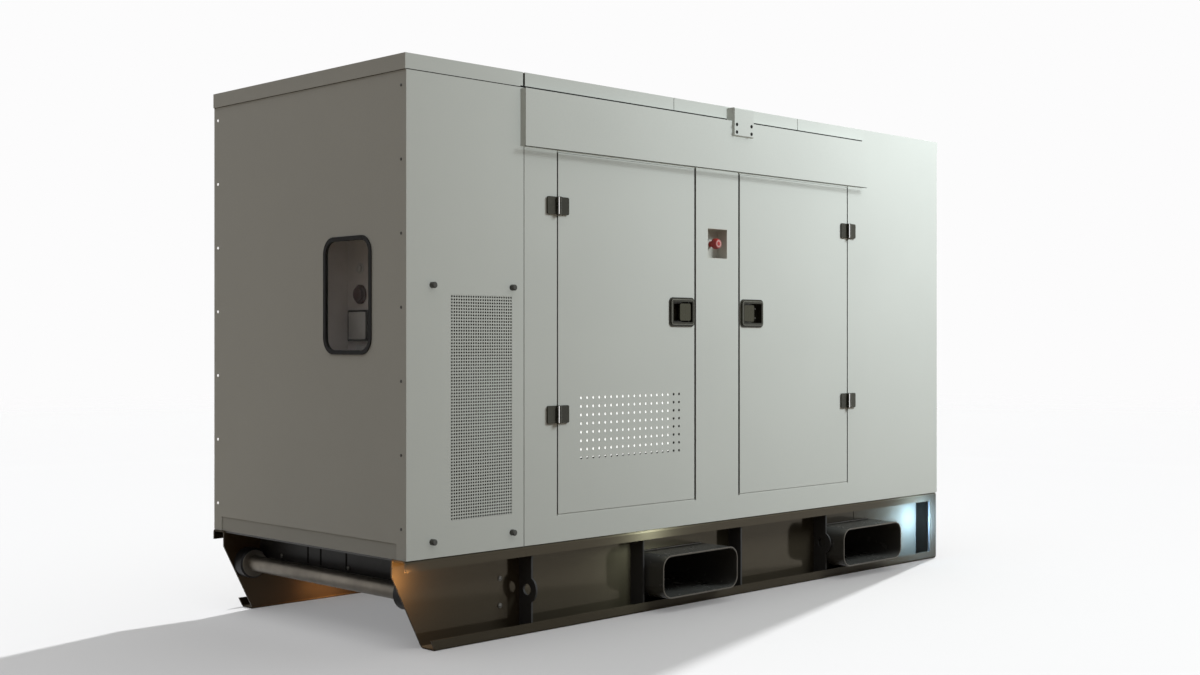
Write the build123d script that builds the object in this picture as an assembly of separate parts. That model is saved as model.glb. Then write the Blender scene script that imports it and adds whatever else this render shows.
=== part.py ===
from build123d import *
import os

os.makedirs("parts", exist_ok=True)

# A canopied generator set on a lifting base. Millimetres, +Z up. The origin is on the ground
# at the middle of the plan. -X is the control end, +X the air end, -Y the near side.

# Overall sizes
canopy_length = 3000.0
canopy_width = 1130.0
base_height = 295.0
sheet = 2.5
contact_gap = 0.3
overcut = 1.0

# Stations along the long sides, from the control end
vent_module_width = 494.0
hinge_post_width = 150.0
door_opening_width = 709.5
centre_post_width = 254.0
panel_depth = 40.0
joint_gap = 3.0
end_inset = 4.0
corner_margin = 10.0

# Levels of the side panels
sill_panel_height = 88.0
door_opening_height = 1240.0
header_height = 197.0
fascia_height = 50.0

# Roof joints, from the control end
roof_joint_stations = (494.0, 1235.0, 1974.0)
roof_joint_gaps = (9.0, 3.0, 3.0)

# Doors
door_depth = 35.0
hinge_side_gap = 5.0
latch_side_gap = 9.0
door_bottom_gap = 5.0
door_top_gap = 6.0
door_bend = 2.0

# Rain hood over the doors
hood_before_post = 16.0
hood_past_doors = 102.0
hood_below_roof = 6.0
hood_projection = 27.0

# Tall perforated vent beside the control end
tall_vent_width = 260.0
tall_vent_height = 717.0
tall_vent_from_end = 181.0
tall_vent_lift = 112.0

# Perforated plate in the door next to the vent module
grille_width = 533.0
grille_height = 237.0
grille_from_post = 101.0
grille_from_door_foot = 176.0
filter_thickness = 12.0
filter_width = 475.0
filter_height = 243.0
filter_from_grille = 6.0
filter_lift = 15.0

# Base rails, lipped channels that open outward
rail_recess = 67.0
rail_plate = 6.0
rail_lip = 35.0
rail_outer_bend = 10.0
rail_nose_length = 120.0
rail_nose_top = 239.0
rail_end_box = 62.0
rail_heel_radius = 15.0
anchor_hole_radius = 11.0
anchor_hole_from_control_end = 300.0
anchor_hole_from_air_end = 240.0

# Gussets in the rails, with a lashing eye on two of them
gusset_plate = 8.0
gusset_stations = (1080.0, 1629.0)
eye_stations = (536.0, 2175.0)
gusset_set_back = 6.5
gusset_cope = 12.0
gusset_lip_cope = 5.0
eye_radius = 19.0
eye_nose_radius = 45.0
eye_from_face = 28.0
eye_level = 144.0

# Fork pockets
pocket_width = 415.0
pocket_height = 157.0
pocket_corner = 46.0
pocket_plate = 6.0
pocket_level = 50.0
pocket_projection = 76.0
pocket_stations = (1301.0, 2390.0)

# Drag tube
drag_tube_radius = 28.0
drag_tube_wall = 6.0
drag_collar_radius = 54.0
drag_collar_length = 50.0
drag_tube_station = 95.0
drag_tube_level = 175.0

# Floor of the machine bay and what ties the rails
deck_plate_thickness = 6.0
cross_member_depth = 50.0
cross_member_height = 100.0
cross_member_station = 150.0
air_end_member_height = 229.0
tank_start_gap = 30.0
tank_end_gap = 40.0
tank_height = 134.0
tank_corner = 20.0

# Window in the control end
window_width = 263.0
window_height = 383.0
window_corner = 55.0
window_from_side = 178.0
window_from_top = 504.0
seal_width = 14.0
seal_overlap = 6.0
pane_thickness = 4.0
control_box_depth = 110.0
control_box_margin = 25.0

# Door hinges
hinge_height = 60.0
hinge_from_bottom = 315.0
hinge_from_top = 157.0
hinge_knuckle_radius = 9.0
hinge_pin_radius = 4.0
hinge_pin_clearance = 0.08
hinge_leaf_length = 50.0
hinge_leaf_thickness = 6.0
hinge_leaf_corner = 6.0
hinge_door_knuckle = 24.0
hinge_slot_width = 4.0
hinge_slot_margin = 8.0
hinge_slot_from_axis = 13.0

# Paddle latches
latch_width = 137.0
latch_height = 107.0
latch_from_door_foot = 700.5
latch_edge_margin = 3.0
latch_flange = 3.0
latch_rim_proud = 8.0
latch_rim_width = 16.0
latch_bead_inset = 6.0
latch_pan_depth = 20.0
latch_plate = 2.0
latch_corner = 16.0
latch_stud_radius = 3.5
latch_stud_height = 5.0
latch_stud_spacing = 36.0
latch_stud_from_rim = 15.0
paddle_reach = 53.0
paddle_heel = 7.0
paddle_depth = 11.0
paddle_wall = 3.0
paddle_corner = 8.0
paddle_below_rim = 4.0
paddle_clearance = 5.0
paddle_barrel_radius = 4.5
paddle_pivot_from_rim = 12.0
paddle_pivot_depth = 2.0
paddle_pin_radius = 2.0
paddle_pin_reach = 10.0

# Emergency stop on the near centre post
stop_recess_size = 115.0
stop_recess_depth = 50.0
stop_from_door_foot = 962.0
stop_head_radius = 20.5
stop_head_height = 20.0
stop_head_taper = 4.0
stop_head_proud = 6.0
stop_stem_radius = 11.0
stop_collar_radius = 17.0
stop_collar_length = 12.0
stop_travel = 6.0

# Lifting brackets at the top edge
bracket_width = 114.0
bracket_station = 1591.0
bracket_drop = 64.0
bracket_rise = 44.0
bracket_proud = 40.0
bracket_plate = 5.0
bracket_hole_radius = 5.5
bracket_hole_spacing = 87.0
bracket_hole_rise = 29.0
bracket_hole_drop = 34.5

# Air outlet screen in the air end
outlet_screen_width = 800.0
outlet_screen_from_roof = 120.0
outlet_screen_from_sill = 80.0

# Turn knobs on the vent module
knob_radius = 10.0
knob_height = 18.0
knob_stations = (105.0, 440.0)
knob_lifts = (51.0, 858.0)

# Machine in the bay, after sets of this power. Stations count from the control end.
bearer_stations = (560.0, 2480.0)
bearer_centre = 280.0
bearer_width = 60.0
bearer_height = 80.0
bearer_wall = 5.0
mount_radius = 32.0
mount_height = 45.0
foot_length = 90.0
foot_web = 40.0
foot_plate = 14.0
shaft_above_deck = 425.0

# Engine blocks as stations, half width and levels from the shaft
engine_block_size = ((1370.0, 2010.0), 165.0, (-120.0, 240.0))
engine_sump_size = ((1400.0, 1980.0), 140.0, (-240.0, -120.0))
engine_head_size = ((1380.0, 2000.0), 120.0, (240.0, 340.0))
rocker_cover_size = ((1400.0, 1980.0), 85.0, (340.0, 420.0))
timing_cover_size = ((2010.0, 2060.0), 150.0, (-160.0, 240.0))
casting_corner = 20.0
flywheel_radius = 225.0
flywheel_depth = 80.0
engine_foot_stations = (1480.0, 1920.0)

# Engine fittings as a radius, an offset from the middle plane and a level from the shaft
manifold = (38.0, 150.0, 290.0)
manifold_stations = (1420.0, 1960.0)
turbo = (70.0, 190.0, 370.0)
turbo_stations = (1640.0, 1720.0)
exhaust_flange_radius = 42.0
exhaust_flange_rise = 100.0
air_cleaner = (100.0, -230.0, 560.0)
air_cleaner_stations = (1480.0, 1840.0)
air_cleaner_strap_stations = (1560.0, 1740.0)
air_pipe_radius = 38.0
air_pipe_station = 1800.0
starter = (48.0, 215.0, -80.0)
starter_length = 230.0
filter_can_radius = 46.0
filter_can_height = 170.0
filter_can_stations = (1560.0, 1690.0)
filter_head_height = 40.0
filter_can_from_shaft = 110.0
injection_pump_stations = (1780.0, 1940.0)
injection_pump_levels = (-20.0, 120.0)
pulley_radius = 90.0
pulley_width = 35.0
fan_above_shaft = 180.0
fan_radius = 290.0
fan_hub_radius = 60.0
fan_blade_width = 90.0
fan_blade_pitch = 30.0
fan_blades = 7

# Alternator
alternator_radius = 215.0
alternator_stations = (620.0, 1290.0)
alternator_cover_radius = 190.0
alternator_cover_length = 80.0
alternator_foot_stations = (800.0, 1130.0)
terminal_box_stations = (720.0, 1060.0)
terminal_box_half_width = 170.0
terminal_box_height = 155.0

# Radiator
radiator_stations = (2190.0, 2300.0)
radiator_half_width = 400.0
radiator_height = 955.0
radiator_frame = 30.0
radiator_tank_height = 90.0
radiator_core_set_back = 15.0
radiator_neck_radius = 25.0
shroud_depth = 60.0
shroud_half_width = 340.0
hose_radius = 28.0

# Silencer under the roof
silencer_radius = 115.0
silencer_stations = (1350.0, 2050.0)
silencer_below_roof = 230.0
silencer_strap_stations = (1450.0, 1900.0)
silencer_strap_width = 40.0
exhaust_pipe_radius = 35.0
tail_pipe_from_end = 120.0

# Places worked out from the sizes above
half_length = canopy_length / 2
half_width = canopy_width / 2
face = -half_width
door_low = base_height + sill_panel_height
door_high = door_low + door_opening_height
wall_top = door_high + header_height
canopy_top = wall_top + fascia_height
post_start = vent_module_width
vent_door_start = post_start + hinge_post_width
centre_post_start = vent_door_start + door_opening_width
plain_door_start = centre_post_start + centre_post_width
air_panel_start = plain_door_start + door_opening_width
web_face = face + rail_recess
web_back = web_face + rail_plate
tall_vent_level = base_height + tall_vent_lift
grille_level = door_low + grille_from_door_foot
latch_level = door_low + latch_from_door_foot
stop_level = door_low + stop_from_door_foot
window_level = wall_top - window_from_top - window_height
hood_top = wall_top - hood_below_roof
bearer_top = base_height + bearer_height
shaft_level = base_height + shaft_above_deck
silencer_level = canopy_top - silencer_below_roof
outlet_levels = (base_height + fascia_height + outlet_screen_from_sill, wall_top - outlet_screen_from_roof)


def along(station):
    return station - half_length


def block(x, y, z):
    size = [high - low for low, high in (x, y, z)]
    middle = [(high + low) / 2 for low, high in (x, y, z)]
    return Pos(*middle) * Box(*size)


def tray(x, y, z, opening, plate=sheet):
    """A folded sheet tray that fills the box and is open on the side that opening names."""
    hollow = [[low + plate, high - plate] for low, high in (x, y, z)]
    axis = "xyz".index(opening[1])
    if opening[0] == "+":
        hollow[axis][1] += 2 * plate
    else:
        hollow[axis][0] -= 2 * plate
    return block(x, y, z) - block(*hollow)


def far(part):
    """The like piece on the far side."""
    return mirror(part, about=Plane.XZ)


def rod(radius, x, y, z):
    """A round bar along the one axis whose two ends differ."""
    spans = [high - low for low, high in (x, y, z)]
    middle = [(high + low) / 2 for low, high in (x, y, z)]
    axis = spans.index(max(spans))
    turn = ((0, 90, 0), (90, 0, 0), (0, 0, 0))[axis]
    return Pos(*middle) * Cylinder(radius, spans[axis], rotation=turn)


def at(value):
    return (value, value)


def rounded_prism(plane, centre, width, height, corner, depth):
    """A rounded rectangle centred on a point of the plane, pushed along its normal."""
    outline = plane * Pos(*centre) * RectangleRounded(width, height, corner)
    return extrude(outline, amount=depth)


def save(name, *pieces):
    solids = [solid for piece in pieces for solid in piece.solids()]
    shape = solids[0] if len(solids) == 1 else Compound(solids)
    export_step(shape, f"parts/{name}.step")


def pocket_outline(station, grow):
    """The outline of a fork pocket as a prism across the whole base."""
    outline = Plane.XZ * Pos(along(station), pocket_level + pocket_height / 2)
    outline *= RectangleRounded(pocket_width + 2 * grow, pocket_height + 2 * grow, pocket_corner + grow)
    return extrude(outline, amount=half_width + pocket_projection, both=True)


def fork_pocket(station):
    return pocket_outline(station, 0) - pocket_outline(station, -pocket_plate)


def base_rail():
    width = web_back - face
    centre = (face + width / 2, base_height / 2)
    outside = RectangleRounded(width, base_height, rail_outer_bend)
    inside = RectangleRounded(width - 2 * rail_plate, base_height - 2 * rail_plate,
                              rail_outer_bend - rail_plate)
    start = Plane.YZ.offset(-half_length)
    rail = extrude(start * Pos(*centre) * outside, amount=canopy_length)
    rail -= extrude(start * Pos(*centre) * inside, amount=canopy_length - rail_plate)
    mouth = ((-half_length, half_length - rail_end_box),
             (face - rail_plate, face + rail_plate),
             (rail_lip, base_height - rail_lip))
    rail -= block(*mouth)
    nose = Polyline((-half_length, rail_nose_top), (along(rail_nose_length), 0),
                    (along(rail_nose_length), -rail_plate),
                    (-half_length - rail_plate, -rail_plate),
                    (-half_length - rail_plate, rail_nose_top), close=True)
    rail -= extrude(Plane.XZ * make_face(nose), amount=canopy_width, both=True)
    heel = rail.edges().filter_by(Axis.Y).group_by(Axis.X)[-1].group_by(Axis.Z)[0]
    rail = fillet(heel, rail_heel_radius)
    for station in pocket_stations:
        rail -= pocket_outline(station, contact_gap)
    for x in (-half_length + anchor_hole_from_control_end, half_length - anchor_hole_from_air_end):
        middle = (face + web_face + rail_plate) / 2
        rail -= rod(anchor_hole_radius, at(x), at(middle), (-overcut, 2 * rail_plate))
    return rail


def gusset(station):
    """An upright plate between the flanges, coped at its corners."""
    low = rail_plate
    high = base_height - rail_plate
    front = face + gusset_set_back
    outline = Polyline((front, low + gusset_lip_cope), (front + gusset_lip_cope, low),
                       (web_face - gusset_cope, low), (web_face, low + gusset_cope),
                       (web_face, high - gusset_cope), (web_face - gusset_cope, high),
                       (front + gusset_lip_cope, high), (front, high - gusset_lip_cope), close=True)
    start = Plane.YZ.offset(along(station) - gusset_plate / 2)
    return extrude(start * make_face(outline), amount=gusset_plate)


def lashing_plate(station):
    """A gusset with a rounded nose that carries a lashing eye."""
    start = Plane.YZ.offset(along(station) - gusset_plate / 2)
    hole = (face + eye_from_face, eye_level)
    nose = extrude(start * Pos(*hole) * Circle(eye_nose_radius), amount=gusset_plate)
    span = (along(station) - gusset_plate, along(station) + gusset_plate)
    nose -= block(span, (web_face, web_face + eye_nose_radius), (0, base_height))
    plate = gusset(station) + nose
    return plate - extrude(start * Pos(*hole) * Circle(eye_radius), amount=gusset_plate)


def end_gusset():
    """The plate that closes the boxed end of a rail."""
    right = half_length - rail_end_box
    front = face + rail_plate
    return block((right - gusset_plate, right), (front + contact_gap, web_face),
                 (rail_plate + gusset_cope / 2, base_height - rail_plate - gusset_cope / 2))


def drag_tube():
    reach = -web_back
    spot = (at(along(drag_tube_station)), at(drag_tube_level))
    tube = rod(drag_tube_radius, spot[0], (-reach, reach), spot[1])
    for side in (-1, 1):
        span = sorted((side * reach, side * (reach - drag_collar_length)))
        tube += rod(drag_collar_radius, spot[0], tuple(span), spot[1])
    tube -= rod(drag_tube_radius - drag_tube_wall, spot[0], (-reach, reach), spot[1])
    rims = tube.edges().filter_by(GeomType.CIRCLE).filter_by(
        lambda edge: edge.radius > drag_tube_radius + overcut and abs(edge.center().Y) < reach - overcut)
    return chamfer(rims, drag_tube_wall)


def control_end_panel():
    """A sheet with two legs down to the base, stiffened by a folded ring behind it."""
    outer = -half_length + end_inset
    face_x = (outer, outer + sheet)
    leg_top = base_height + fascia_height
    panel = block(face_x, (-half_width, half_width), (base_height, wall_top))
    panel -= block((outer - sheet, outer + 2 * sheet),
                   (-half_width + panel_depth + corner_margin, half_width - panel_depth - corner_margin),
                   (base_height - sheet, leg_top))
    ring_y = (-half_width + panel_depth + corner_margin, half_width - panel_depth - corner_margin)
    ring_z = (leg_top, wall_top)
    panel += tray((outer, outer + panel_depth), ring_y, ring_z, "+x")
    middle = (-half_width + window_from_side + window_width / 2, window_level + window_height / 2)
    cut = rounded_prism(Plane.YZ.offset(outer - sheet), middle, window_width - 2 * seal_overlap,
                        window_height - 2 * seal_overlap, window_corner - seal_overlap, 3 * sheet)
    return panel - cut


def air_end_panel():
    outer = half_length - end_inset
    leg_top = base_height + fascia_height
    inner = half_width - panel_depth - corner_margin
    panel = block((outer - sheet, outer), (-half_width, half_width), (base_height, wall_top))
    panel -= block((outer - 2 * sheet, outer + sheet), (-inner, inner), (base_height - sheet, leg_top))
    panel += tray((outer - panel_depth, outer), (-inner, inner), (leg_top, wall_top), "-x")
    return panel - outlet_screen()


def outlet_screen():
    outer = half_length - end_inset
    half = outlet_screen_width / 2
    return block((outer - sheet, outer), (-half, half), outlet_levels)


def end_sill(side):
    """The recessed strip between the legs of an end panel."""
    inner = half_width - panel_depth - corner_margin
    front = half_length - end_inset - sheet
    x = sorted((side * front, side * (front - panel_depth / 2)))
    opening = "+x" if side < 0 else "-x"
    return tray(tuple(x), (-inner, inner), (base_height, base_height + fascia_height), opening)


def side_tray(start, end, low, high):
    return tray((along(start), along(end)), (face, face + panel_depth), (low, high), "+y")


def vent_side_panel():
    start = end_inset + sheet
    panel = side_tray(start, vent_module_width - joint_gap / 2, base_height, wall_top)
    return panel - block(*tall_vent_box())


def tall_vent_box():
    left = along(tall_vent_from_end)
    return ((left, left + tall_vent_width), (face, face + sheet),
            (tall_vent_level, tall_vent_level + tall_vent_height))


def hinge_post():
    start = post_start + joint_gap / 2
    return side_tray(start, vent_door_start, door_low, door_high)


def centre_post():
    return side_tray(centre_post_start + latch_side_gap / 2, plain_door_start - latch_side_gap / 2,
                     door_low, door_high)


def stop_centre():
    return along((centre_post_start + plain_door_start) / 2)


def stop_opening():
    half = stop_recess_size / 2
    middle = stop_centre()
    return (middle - half, middle + half), (stop_level - half, stop_level + half)


def stop_recess():
    """The square recess of the emergency stop, with the collar that the button slides in."""
    x, z = stop_opening()
    recess = tray(x, (face, face + stop_recess_depth), z, "-y")
    back = face + stop_recess_depth - sheet
    middle = at(stop_centre())
    recess += rod(stop_collar_radius, middle, (back - stop_collar_length, back), at(stop_level))
    bore = rod(stop_stem_radius + contact_gap, middle, (face, face + 2 * stop_recess_depth),
               at(stop_level))
    return recess - bore


def stop_button():
    """A tapered mushroom head on a stem that runs through the collar."""
    centre = Pos(stop_centre(), 0, stop_level)
    front = face - stop_head_proud
    back = front + stop_head_height
    radius = stop_head_radius
    outline = Polyline((0, back), (radius, back), (radius, (front + back) / 2),
                       (radius - stop_head_taper, front), (0, front), close=True)
    head = centre * revolve(Plane.XY * make_face(outline), Axis.Y)
    rim = head.edges().filter_by(GeomType.CIRCLE).group_by(Axis.Y)[0]
    head = fillet(rim, stop_head_taper / 2)
    end = face + stop_recess_depth + stop_travel
    return head + rod(stop_stem_radius, at(stop_centre()), (back, end), at(stop_level))


def air_side_panel():
    return side_tray(air_panel_start, canopy_length - end_inset - sheet, door_low, wall_top)


def side_sill():
    start = post_start + joint_gap / 2
    return side_tray(start, canopy_length - end_inset - sheet, base_height, door_low)


def door_header():
    return side_tray(post_start + joint_gap / 2, air_panel_start, door_high, wall_top)


def rain_hood():
    x = (along(post_start - hood_before_post), along(air_panel_start + hood_past_doors))
    return tray(x, (face - hood_projection, face), (door_high, hood_top), "+y")


def roof_panel(start, end):
    panel = tray((along(start), along(end)), (-half_width, half_width), (wall_top, canopy_top), "-z")
    return panel


def door_panel(start, end, hinge_left):
    """A folded tray that fills its opening, with a cut-out for the latch pan."""
    left = start + (hinge_side_gap if hinge_left else latch_side_gap / 2)
    right = end - (latch_side_gap / 2 if hinge_left else hinge_side_gap)
    panel = tray((along(left), along(right)), (face, face + door_depth),
                 (door_low + door_bottom_gap, door_high - door_top_gap), "+y")
    front = panel.faces().sort_by(Axis.Y)[0]
    panel = fillet(front.edges(), door_bend)
    return panel - latch_ring(start, end, hinge_left, latch_rim_width - latch_plate - contact_gap,
                              face - overcut, face + 2 * sheet)


def latch_outline(start, end, hinge_left):
    """The box of a latch frame in X and Z, beside the free edge of its door."""
    if hinge_left:
        right = along(end - latch_side_gap / 2 - latch_edge_margin)
        x = (right - latch_width, right)
    else:
        left = along(start + latch_side_gap / 2 + latch_edge_margin)
        x = (left, left + latch_width)
    return x, (latch_level - latch_height / 2, latch_level + latch_height / 2)


def latch_pivot(start, end, hinge_left):
    """The place of the paddle's pivot, on the side of the free edge of the door."""
    x, _ = latch_outline(start, end, hinge_left)
    inset = latch_rim_width + paddle_pivot_from_rim
    return x[1] - inset if hinge_left else x[0] + inset


def latch_ring(start, end, hinge_left, inset, front, back):
    """The latch outline moved inward by inset, from one depth to the other."""
    x, z = latch_outline(start, end, hinge_left)
    corner = max(latch_corner - inset, latch_plate)
    return rounded_prism(Plane.XZ.offset(-back), (sum(x) / 2, sum(z) / 2),
                         latch_width - 2 * inset, latch_height - 2 * inset, corner, back - front)


def latch_frame(start, end, hinge_left):
    """A flange with a raised bead, and a pan behind it with two studs and the pivot pins."""
    spot = (start, end, hinge_left)
    frame = latch_ring(*spot, 0, face - latch_flange, face)
    bead = latch_ring(*spot, latch_bead_inset, face - latch_rim_proud, face - latch_flange)
    crown = bead.faces().sort_by(Axis.Y)[0]
    frame += fillet(crown.edges(), latch_flange)
    pan_back = face + latch_pan_depth
    frame += latch_ring(*spot, latch_rim_width - latch_plate, face, pan_back)
    frame -= latch_ring(*spot, latch_rim_width, face - 2 * latch_rim_proud, pan_back - latch_plate)
    x, z = latch_outline(start, end, hinge_left)
    far_rim = x[0] + latch_rim_width if hinge_left else x[1] - latch_rim_width
    stud_x = far_rim + (latch_stud_from_rim if hinge_left else -latch_stud_from_rim)
    floor = pan_back - latch_plate
    for side in (-1, 1):
        stud_z = latch_level + side * latch_stud_spacing / 2
        frame += rod(latch_stud_radius, at(stud_x), (floor - latch_stud_height, floor), at(stud_z))
    pivot = at(latch_pivot(start, end, hinge_left))
    low = z[0] + latch_rim_width
    high = z[1] - latch_rim_width
    depth = at(face + paddle_pivot_depth)
    frame += rod(paddle_pin_radius, pivot, depth, (low, low + paddle_pin_reach))
    frame += rod(paddle_pin_radius, pivot, depth, (high - paddle_pin_reach, high))
    return frame


def paddle(start, end, hinge_left):
    """A moulded cap that the fingers pull, with a barrel at its pivot."""
    _, z = latch_outline(start, end, hinge_left)
    inset = latch_rim_width + paddle_clearance
    z = (z[0] + inset, z[1] - inset)
    pivot = latch_pivot(start, end, hinge_left)
    side = -1 if hinge_left else 1
    x = tuple(sorted((pivot - side * paddle_heel, pivot + side * paddle_reach)))
    front = face - latch_rim_proud + paddle_below_rim
    middle = (sum(x) / 2, sum(z) / 2)
    back_plane = Plane.XZ.offset(-(front + paddle_depth))
    width = x[1] - x[0]
    height = z[1] - z[0]
    cap = rounded_prism(back_plane, middle, width, height, paddle_corner, paddle_depth)
    cap = fillet(cap.faces().sort_by(Axis.Y)[0].edges(), latch_plate)
    wall = paddle_wall
    cap -= rounded_prism(back_plane, middle, width - 2 * wall, height - 2 * wall,
                         paddle_corner - wall, paddle_depth - wall)
    depth = at(face + paddle_pivot_depth)
    cap += rod(paddle_barrel_radius, at(pivot), depth, z)
    bore = paddle_pin_radius + hinge_pin_clearance
    reach = paddle_pin_reach - paddle_clearance + overcut
    cap -= rod(bore, at(pivot), depth, (z[0] - overcut, z[0] + reach))
    cap -= rod(bore, at(pivot), depth, (z[1] - reach, z[1] + overcut))
    return cap


def hinge_axis(edge, hinge_left):
    """The place of a door's hinge axis in X, in the middle of the gap beside its opening."""
    return along(edge) + (hinge_side_gap / 2 if hinge_left else -hinge_side_gap / 2)


def hinge_levels():
    return door_low + hinge_from_bottom, door_high - hinge_from_top - hinge_height


def hinge_half(axis_x, side, level, knuckles):
    """A leaf with rounded corners and a slot, and its knuckles round the axis."""
    axis_y = face - hinge_knuckle_radius
    z = (level, level + hinge_height)
    root = axis_x + side * hinge_side_gap / 2
    x = tuple(sorted((root, axis_x + side * hinge_leaf_length)))
    leaf = block(x, (face - hinge_leaf_thickness, face), z)
    outer = leaf.edges().filter_by(Axis.Y).sort_by(Axis.X)
    leaf = fillet(outer[-2:] if side > 0 else outer[:2], hinge_leaf_corner)
    slot_x = axis_x + side * hinge_slot_from_axis
    slot = (slot_x - hinge_slot_width / 2, slot_x + hinge_slot_width / 2)
    leaf -= block(slot, (face - 2 * hinge_leaf_thickness, face + overcut),
                  (z[0] + hinge_slot_margin, z[1] - hinge_slot_margin))
    shaft = rod(hinge_knuckle_radius + contact_gap, at(axis_x), at(axis_y), z)
    leaf -= shaft
    for low, high in knuckles:
        strap = tuple(sorted((axis_x, root + side * hinge_side_gap)))
        leaf += block(strap, (face - hinge_leaf_thickness, face), (low, high))
        leaf += rod(hinge_knuckle_radius, at(axis_x), at(axis_y), (low, high))
    return leaf


def hinge_knuckle_cuts(level):
    """Where the moving knuckle starts and ends, with the fixed ones above and below."""
    end = (hinge_height - hinge_door_knuckle) / 2
    return level + end, level + hinge_height - end


def fixed_hinge(edge, hinge_left, level):
    """The half on the post, with two knuckles and the pin between them."""
    axis_x = hinge_axis(edge, hinge_left)
    low, high = hinge_knuckle_cuts(level)
    knuckles = ((level, low - contact_gap), (high + contact_gap, level + hinge_height))
    half = hinge_half(axis_x, -1 if hinge_left else 1, level, knuckles)
    return half + rod(hinge_pin_radius, at(axis_x), at(face - hinge_knuckle_radius),
                      (level, level + hinge_height))


def moving_hinge(edge, hinge_left, level):
    """The half on the door, with one knuckle bored for the pin."""
    axis_x = hinge_axis(edge, hinge_left)
    half = hinge_half(axis_x, 1 if hinge_left else -1, level, (hinge_knuckle_cuts(level),))
    return half - rod(hinge_pin_radius + hinge_pin_clearance, at(axis_x),
                      at(face - hinge_knuckle_radius), (level, level + hinge_height))


def moving_hinges(edge, hinge_left):
    return [moving_hinge(edge, hinge_left, level) for level in hinge_levels()]


def fixed_hinges():
    halves = []
    for level in hinge_levels():
        halves.append(fixed_hinge(vent_door_start, True, level))
        halves.append(fixed_hinge(air_panel_start, False, level))
    return halves


def grille_box():
    left = along(vent_door_start + grille_from_post)
    return ((left, left + grille_width), (face, face + sheet),
            (grille_level, grille_level + grille_height))


def filter_mat():
    """The pale filter mat on the inside of the perforated plate."""
    left = along(vent_door_start + grille_from_post) + filter_from_grille - contact_gap
    low = grille_level + filter_lift
    return block((left, left + filter_width), (face + sheet, face + sheet + filter_thickness),
                 (low, low + filter_height - filter_lift))


def lifting_bracket():
    """A folded cap over the hood and the roof edge, with four bolt holes in its face."""
    x = (along(bracket_station) - bracket_width / 2, along(bracket_station) + bracket_width / 2)
    front = face - bracket_proud
    bracket_bottom = wall_top - bracket_drop
    bracket_top = wall_top + bracket_rise
    outside = block(x, (front, face), (bracket_bottom, bracket_top))
    hollow_x = (x[0] + bracket_plate, x[1] - bracket_plate)
    outside -= block(hollow_x, (front + bracket_plate, face + overcut),
                     (bracket_bottom + bracket_plate, bracket_top - bracket_plate))
    outside -= block((x[0] - overcut, x[1] + overcut), (face - hood_projection, face + overcut),
                     (bracket_bottom - overcut, hood_top))
    outside = fillet(outside.edges().filter_by(Axis.X).group_by(Axis.Y)[0], bracket_plate)
    for side in (-1, 1):
        for rise in (-1, 1):
            hole_x = along(bracket_station) + side * bracket_hole_spacing / 2
            hole_z = wall_top - bracket_hole_drop + rise * bracket_hole_rise / 2
            outside -= rod(bracket_hole_radius, at(hole_x), (front - overcut, front + 2 * bracket_plate),
                           at(hole_z))
    return outside


def knobs():
    pieces = []
    for station in knob_stations:
        for lift in knob_lifts:
            knob = rod(knob_radius, at(along(station)), (face - knob_height, face), at(base_height + lift))
            crown = knob.edges().filter_by(GeomType.CIRCLE).group_by(Axis.Y)[0]
            pieces.append(chamfer(crown, sheet))
    return pieces


def window_outline(inset, x, depth):
    middle = (-half_width + window_from_side + window_width / 2, window_level + window_height / 2)
    return rounded_prism(Plane.YZ.offset(x), middle, window_width - 2 * inset,
                         window_height - 2 * inset, window_corner - inset, depth)


def window_seal():
    """A rubber section clipped over the edge of the cut-out, with a bead on both faces."""
    outer = -half_length + end_inset
    seal = window_outline(0, outer - end_inset, end_inset)
    seal += window_outline(seal_overlap, outer, sheet)
    seal += window_outline(0, outer + sheet, end_inset)
    return seal - window_outline(seal_width, outer - end_inset, 2 * end_inset + sheet)


def window_pane():
    return window_outline(seal_width, -half_length + end_inset, pane_thickness)


def control_panel():
    """An open box behind the window that carries the instruments on its back plate."""
    outer = -half_length + end_inset + sheet
    y = (-half_width + window_from_side - control_box_margin,
         -half_width + window_from_side + window_width + control_box_margin)
    z = (window_level - control_box_margin, window_level + window_height + control_box_margin)
    return tray((outer, outer + control_box_depth), y, z, "-x")


def cross_members():
    reach = -web_back
    top = base_height - deck_plate_thickness
    start = along(cross_member_station)
    first = tray((start, start + cross_member_depth), (-reach, reach),
                 (top - cross_member_height, top), "+x", rail_plate)
    last = tray((half_length - cross_member_depth, half_length), (-reach, reach),
                (top - air_end_member_height, top), "-x", rail_plate)
    return first, last


def deck_plate():
    reach = -web_back
    return block((-half_length + end_inset + sheet, half_length), (-reach, reach),
                 (base_height - deck_plate_thickness, base_height))


def fuel_tank():
    reach = -web_back
    top = base_height - deck_plate_thickness
    start = along(cross_member_station) + cross_member_depth + tank_start_gap
    end = along(pocket_stations[0]) - pocket_width / 2 - tank_end_gap
    tank = block((start, end), (-reach, reach), (top - tank_height, top))
    return fillet(tank.edges().filter_by(Axis.Y).group_by(Axis.Z)[0], tank_corner)


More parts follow.
